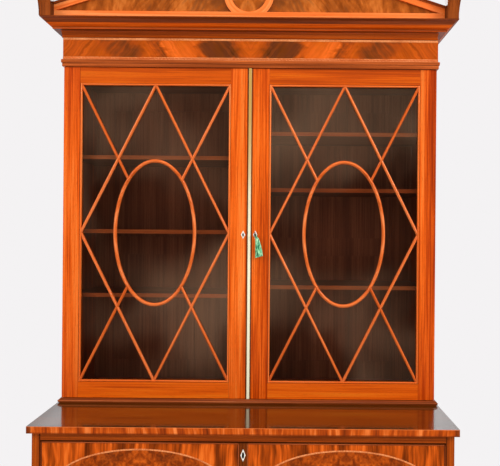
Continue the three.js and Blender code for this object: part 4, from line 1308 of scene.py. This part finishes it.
def makeFields(kind, board, body):
    fieldWood = beadWood = None
    for side, word in sides:
        low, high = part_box(board.format(word))
        fieldWood = fieldWood or fieldFinish(kind, low, high)
        beadWood = beadWood or beadFinish(kind, low, high)
        wear(board.format(word), fieldWood)
        makeField(kind, side, word, body.format(word), low, high, beadWood)


makeFields("fall", "writing_fall", "writing_fall")
makeFields("cupboard", "cupboard_door_{}", "{}_cupboard_door")
print("fall and cupboard doors made")


def dressFittings():
    for name in nodes:
        if name.startswith(("hinge_", "cupboard_pin_")) or name == "lock_cam":
            wear(name, brass)
    bone = boneFinish()
    for name in ("escutcheon_left", "escutcheon_right", "fall_escutcheon"):
        wear(name, bone)


# The knob's outline, as shares of its half width and of its length
knobOutline = [
    (0.80, 0.0), (0.80, 0.04), (0.74, 0.06), (0.68, 0.07), (0.64, 0.10), (0.42, 0.12), (0.33, 0.18),
    (0.30, 0.26), (0.33, 0.33), (0.50, 0.38), (0.52, 0.41), (0.50, 0.43),
    *((0.62 + 0.38 * math.sin(turn), 0.70 - 0.26 * math.cos(turn)) for turn in (0.2, 0.6, 1.0, 1.4, 1.75)),
    (0.93, 0.83), (0.80, 0.90), (0.60, 0.95), (0.36, 0.985), (0.12, 0.998), (0.0, 1.0),
]


def makeKnobs():
    for _, word in sides:
        low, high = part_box(f"knob_{word}")
        half, length = (high.x - low.x) / 2, baseFront - low.y
        profile = [(radius * half, distance * length) for radius, distance in knobOutline]
        middle = ((low.x + high.x) / 2, baseFront, (low.z + high.z) / 2)
        mesh = turned(f"knob_{word}_turned", middle, profile, brass)
        addPiece(f"turned_knob_{word}", mesh, "writing_fall", [f"knob_{word}"])


keyholeProud, keyholeDepth = 0.00025, 0.0002
keyholes = {
    "keyhole_left": {"plate": "escutcheon_left", "body": "left_door", "width": 0.0046, "height": 0.0112},
    "keyhole_fall": {"plate": "fall_escutcheon", "body": "writing_fall", "width": 0.0066, "height": 0.0175},
}


# A near-black sheet as the painted shade of a keyhole's opening: an oval drawn to a point above and below
def makeKeyholes():
    black = blackFinish()
    for name, sizes in keyholes.items():
        low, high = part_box(sizes["plate"])
        x, z, front = (low.x + high.x) / 2, (low.z + high.z) / 2, low.y
        outline = []
        for turn in turnsOf(32):
            out = sizes["width"] / 2 * math.sin(turn) * abs(math.sin(turn)) ** 0.35
            outline.append((x + out, z + sizes["height"] / 2 * math.cos(turn)))
        mesh = flatShape(name, outline, front - keyholeProud, front + keyholeDepth, black, (0, 1), 0)
        addPiece(name, mesh, sizes["body"])


meetingBead = {
    "reflectionFadeLow": 1.46,
    "reflectionFadeHigh": 1.90,
    "edgeShadeShare": 0.76,
    "outlineShares": [(0, 1), (0.55, 1), (0.85, 0.86), (1, 0.6)],
}


# The brass strip where the doors meet: a painted reflection, pale below and duller gold above, with painted
# shade along its edges
def makeMeetingBead():
    sizes = meetingBead
    low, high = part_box("meeting_strip")
    half, depth = (high.x - low.x) / 2, high.y - low.y
    section = bothSides([(depth * out, half * across) for out, across in sizes["outlineShares"]])
    material, graph = newFinish("strip_brass")
    x, y, z = graph.axes()
    worn = graph.noise((x * 40, y * 40, z * 9), 4.0)
    fine = graph.noise((x * 500, y * 500, z * 60))
    # painted reflection: pale cream fading to dull gold towards the top
    reflectionFade = graph.step(z + (worn - 0.5) * 0.25, sizes["reflectionFadeLow"], sizes["reflectionFadeHigh"])
    colour = graph.tinted(
        tone(255, 247, 212),
        (reflectionFade, (200, 158, 74)),
        (graph.step(fine, 0.5, 0.75) * 0.2, (222, 178, 110)),
        # painted shade along the strip's edges
        ((abs(x) > half * sizes["edgeShadeShare"]) * 0.85, (120, 84, 30)),
    )
    finishSurface(graph, colour, worn * 0.2 + 0.25, fine, 0.04, 0.5)
    mesh = strip("meeting_bead", [(0, high.y, low.z), (0, high.y, high.z)], False, section, material)
    addPiece("meeting_bead", mesh, "right_door", ["meeting_strip"])


keySizes = {
    "axisZ": 1.504,
    "bowHalf": 0.0085,
    "bowShares": (0.82, 0.86),
    "bowWire": 0.0011,
    "wireShare": 1.2,
    "shank": 0.002,
    "bitHalf": 0.0011,
    "bitLength": 0.005,
    "bitLow": 0.0063,
    "bitHigh": 0.001,
    "soften": 0.0003,
}
# Collars of the shank, as (share of its radius, distance from the bow)
keyCollars = [
    (1.1, -0.0014), (1.55, -0.0004), (1.6, 0.0008), (1, 0.0016), (1, 0.0028),
    (1.35, 0.0032), (1.35, 0.0042), (0.98, 0.0048),
]


def makeKey():
    sizes = keySizes
    iron = metalFinish("dark_iron", (30, 26, 20), (74, 66, 52), 0.35, 200.0)
    low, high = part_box("key")
    x, z, bow = (low.x + high.x) / 2, sizes["axisZ"], sizes["bowHalf"]
    start = low.y + 2 * bow
    rows = [(share * sizes["shank"], distance) for share, distance in [*keyCollars, (0.98, high.y - start)]]
    meshes = [turned("key_shank", (x, start, z), rows, iron, (0, 1, 0), 16)]
    deep, tall = sizes["bowShares"]
    ring = [(x, low.y + bow + u * deep, z + v * tall) for u, v in roundSection(bow, 40)]
    section = [(u * sizes["wireShare"], v) for u, v in roundSection(sizes["bowWire"])]
    meshes.append(strip("key_bow", ring, True, section, iron, (1, 0, 0)))
    corner = Vector((x - sizes["bitHalf"], high.y - sizes["bitLength"], z - sizes["bitLow"]))
    size = Vector((x + sizes["bitHalf"], high.y, z - sizes["bitHigh"])) - corner
    shape = bmesh.new()
    place = Matrix.Translation(corner + size / 2) @ Matrix.Diagonal((*size, 1))
    bmesh.ops.create_cube(shape, size=1, matrix=place)
    bmesh.ops.bevel(
        shape, geom=shape.edges[:], offset=sizes["soften"], segments=2, profile=0.5, affect="EDGES"
    )
    meshes.append(softened(meshOf("key_bit", shape), 35))
    addPiece("key_forged", meshes, "key", ["key"])


tasselSizes = {
    "threads": 210,
    "leftX": 0.0192,
    "headZ": 1.5025,
    "neckZ": 1.4965,
    "hemZ": 1.4380,
    "neckRadius": 0.0030,
    "hemHalfX": 0.0115,
    "hemHalfY": 0.0050,
    "hemUneven": (-0.0004, 0.0016),
    "hemSlope": 0.0030,
    "wave": (0.0001, 0.0006),
    "flare": 0.62,
    "lean": 0.6,
    "thread": 0.00048,
    "tieDrop": 0.0048,
    "tiePitch": 0.0008,
    "tieRadius": 0.0027,
    "tieThread": 0.0005,
    "loopX": 0.0002,
    "loopZ": 1.5064,
    "loopHalfX": 0.0022,
    "loopHalfZ": 0.0051,
    "cord": 0.0006,
}
# The head's outline, as (radius, distance down)
tasselHead = [
    (0.0006, 0), (0.0018, 0.0004), (0.0028, 0.0014), (0.0031, 0.0028),
    (0.0029, 0.0042), (0.0024, 0.0054), (0.0027, 0.0066), (0.0030, 0.0085),
]


def silkFinish():
    material, graph = newFinish("silk")
    x, y, z = graph.axes()
    lock = graph.noise((x * 640, y * 640, z * 70), 3.0)
    patch = graph.noise((x * 240, y * 240, z * 110), 3.0)
    stops = [(0, 14, 84, 56), (0.3, 66, 162, 114), (0.55, 118, 212, 160), (1, 206, 255, 208)]
    colour = graph.ramp(graph.step(lock * 0.6 + patch * 0.4, 0.37, 0.61), stops)
    finishSurface(graph, colour, lock * 0.2 + 0.4, lock, 0.1, 0.3)
    return material


# A skirt of threads under a bound head, with a loop of cord through the key's bow
def makeTassel():
    sizes = tasselSizes
    neck, hem, neckRadius, headZ = (sizes[key] for key in ("neckZ", "hemZ", "neckRadius", "headZ"))
    silk = silkFinish()
    low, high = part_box("tassel")
    x, y = (low.x + high.x) / 2, (low.y + high.y) / 2
    chance = random.Random(11)

    def halfWidth(z):
        share = max(0.0, (neck - z) / (neck - hem))
        return neckRadius + (sizes["hemHalfX"] - neckRadius) * share ** sizes["flare"]

    def centre(z):  # the skirt widens to the right, its left side hangs straight
        return sizes["leftX"] + halfWidth(z) - max(0.0, z - neck) * sizes["lean"]

    chains = []
    for index in range(sizes["threads"]):
        turn, reach = chance.uniform(0, 2 * math.pi), math.sqrt(chance.uniform(0.05, 1))
        wave, phase = chance.uniform(*sizes["wave"]), chance.uniform(0, 6)
        end = hem + chance.uniform(*sizes["hemUneven"]) + sizes["hemSlope"] * (math.cos(turn) * reach + 0.4)
        chain = []
        for step in range(9):
            share = step / 8
            z = neck + (end - neck) * share
            wide = halfWidth(z) * reach * math.cos(turn)
            deep = (neckRadius + (sizes["hemHalfY"] - neckRadius) * share ** 0.5) * reach * math.sin(turn)
            sway = wave * math.sin(phase + share * 9)
            chain.append((centre(z) + wide + sway, y + deep + sway * 0.4, z))
        chains.append(chain)
    meshes = [strip("tassel_skirt", chains, False, roundSection(sizes["thread"], 5), silk)]
    head = Vector((centre(headZ), y, headZ))
    lean = Vector((centre(neck) - centre(headZ), 0, neck - headZ))
    meshes.append(turned("tassel_head", head, tasselHead, silk, lean, 16))
    for index in range(3):
        middle = head + lean.normalized() * (sizes["tieDrop"] + index * sizes["tiePitch"])
        ring = [middle + Vector((u, v, 0)) for u, v in roundSection(sizes["tieRadius"], 20)]
        section = roundSection(sizes["tieThread"], 6)
        meshes.append(strip(f"tassel_tie_{index}", ring, True, section, silk, (0, 0, 1)))
    loop = []
    for turn in turnsOf(28):
        down = 1 - math.cos(turn)
        across = sizes["loopX"] + sizes["loopHalfX"] * (math.sin(turn) + down / 2)
        loop.append((x + across, y, sizes["loopZ"] - sizes["loopHalfZ"] * down))
    meshes.append(strip("tassel_loop", loop, True, roundSection(sizes["cord"], 6), silk))
    addPiece("silk_tassel", meshes, "tassel", ["tassel"])


dressFittings()
makeKnobs()
makeKeyholes()
makeMeetingBead()
makeKey()
makeTassel()
print("fittings made")
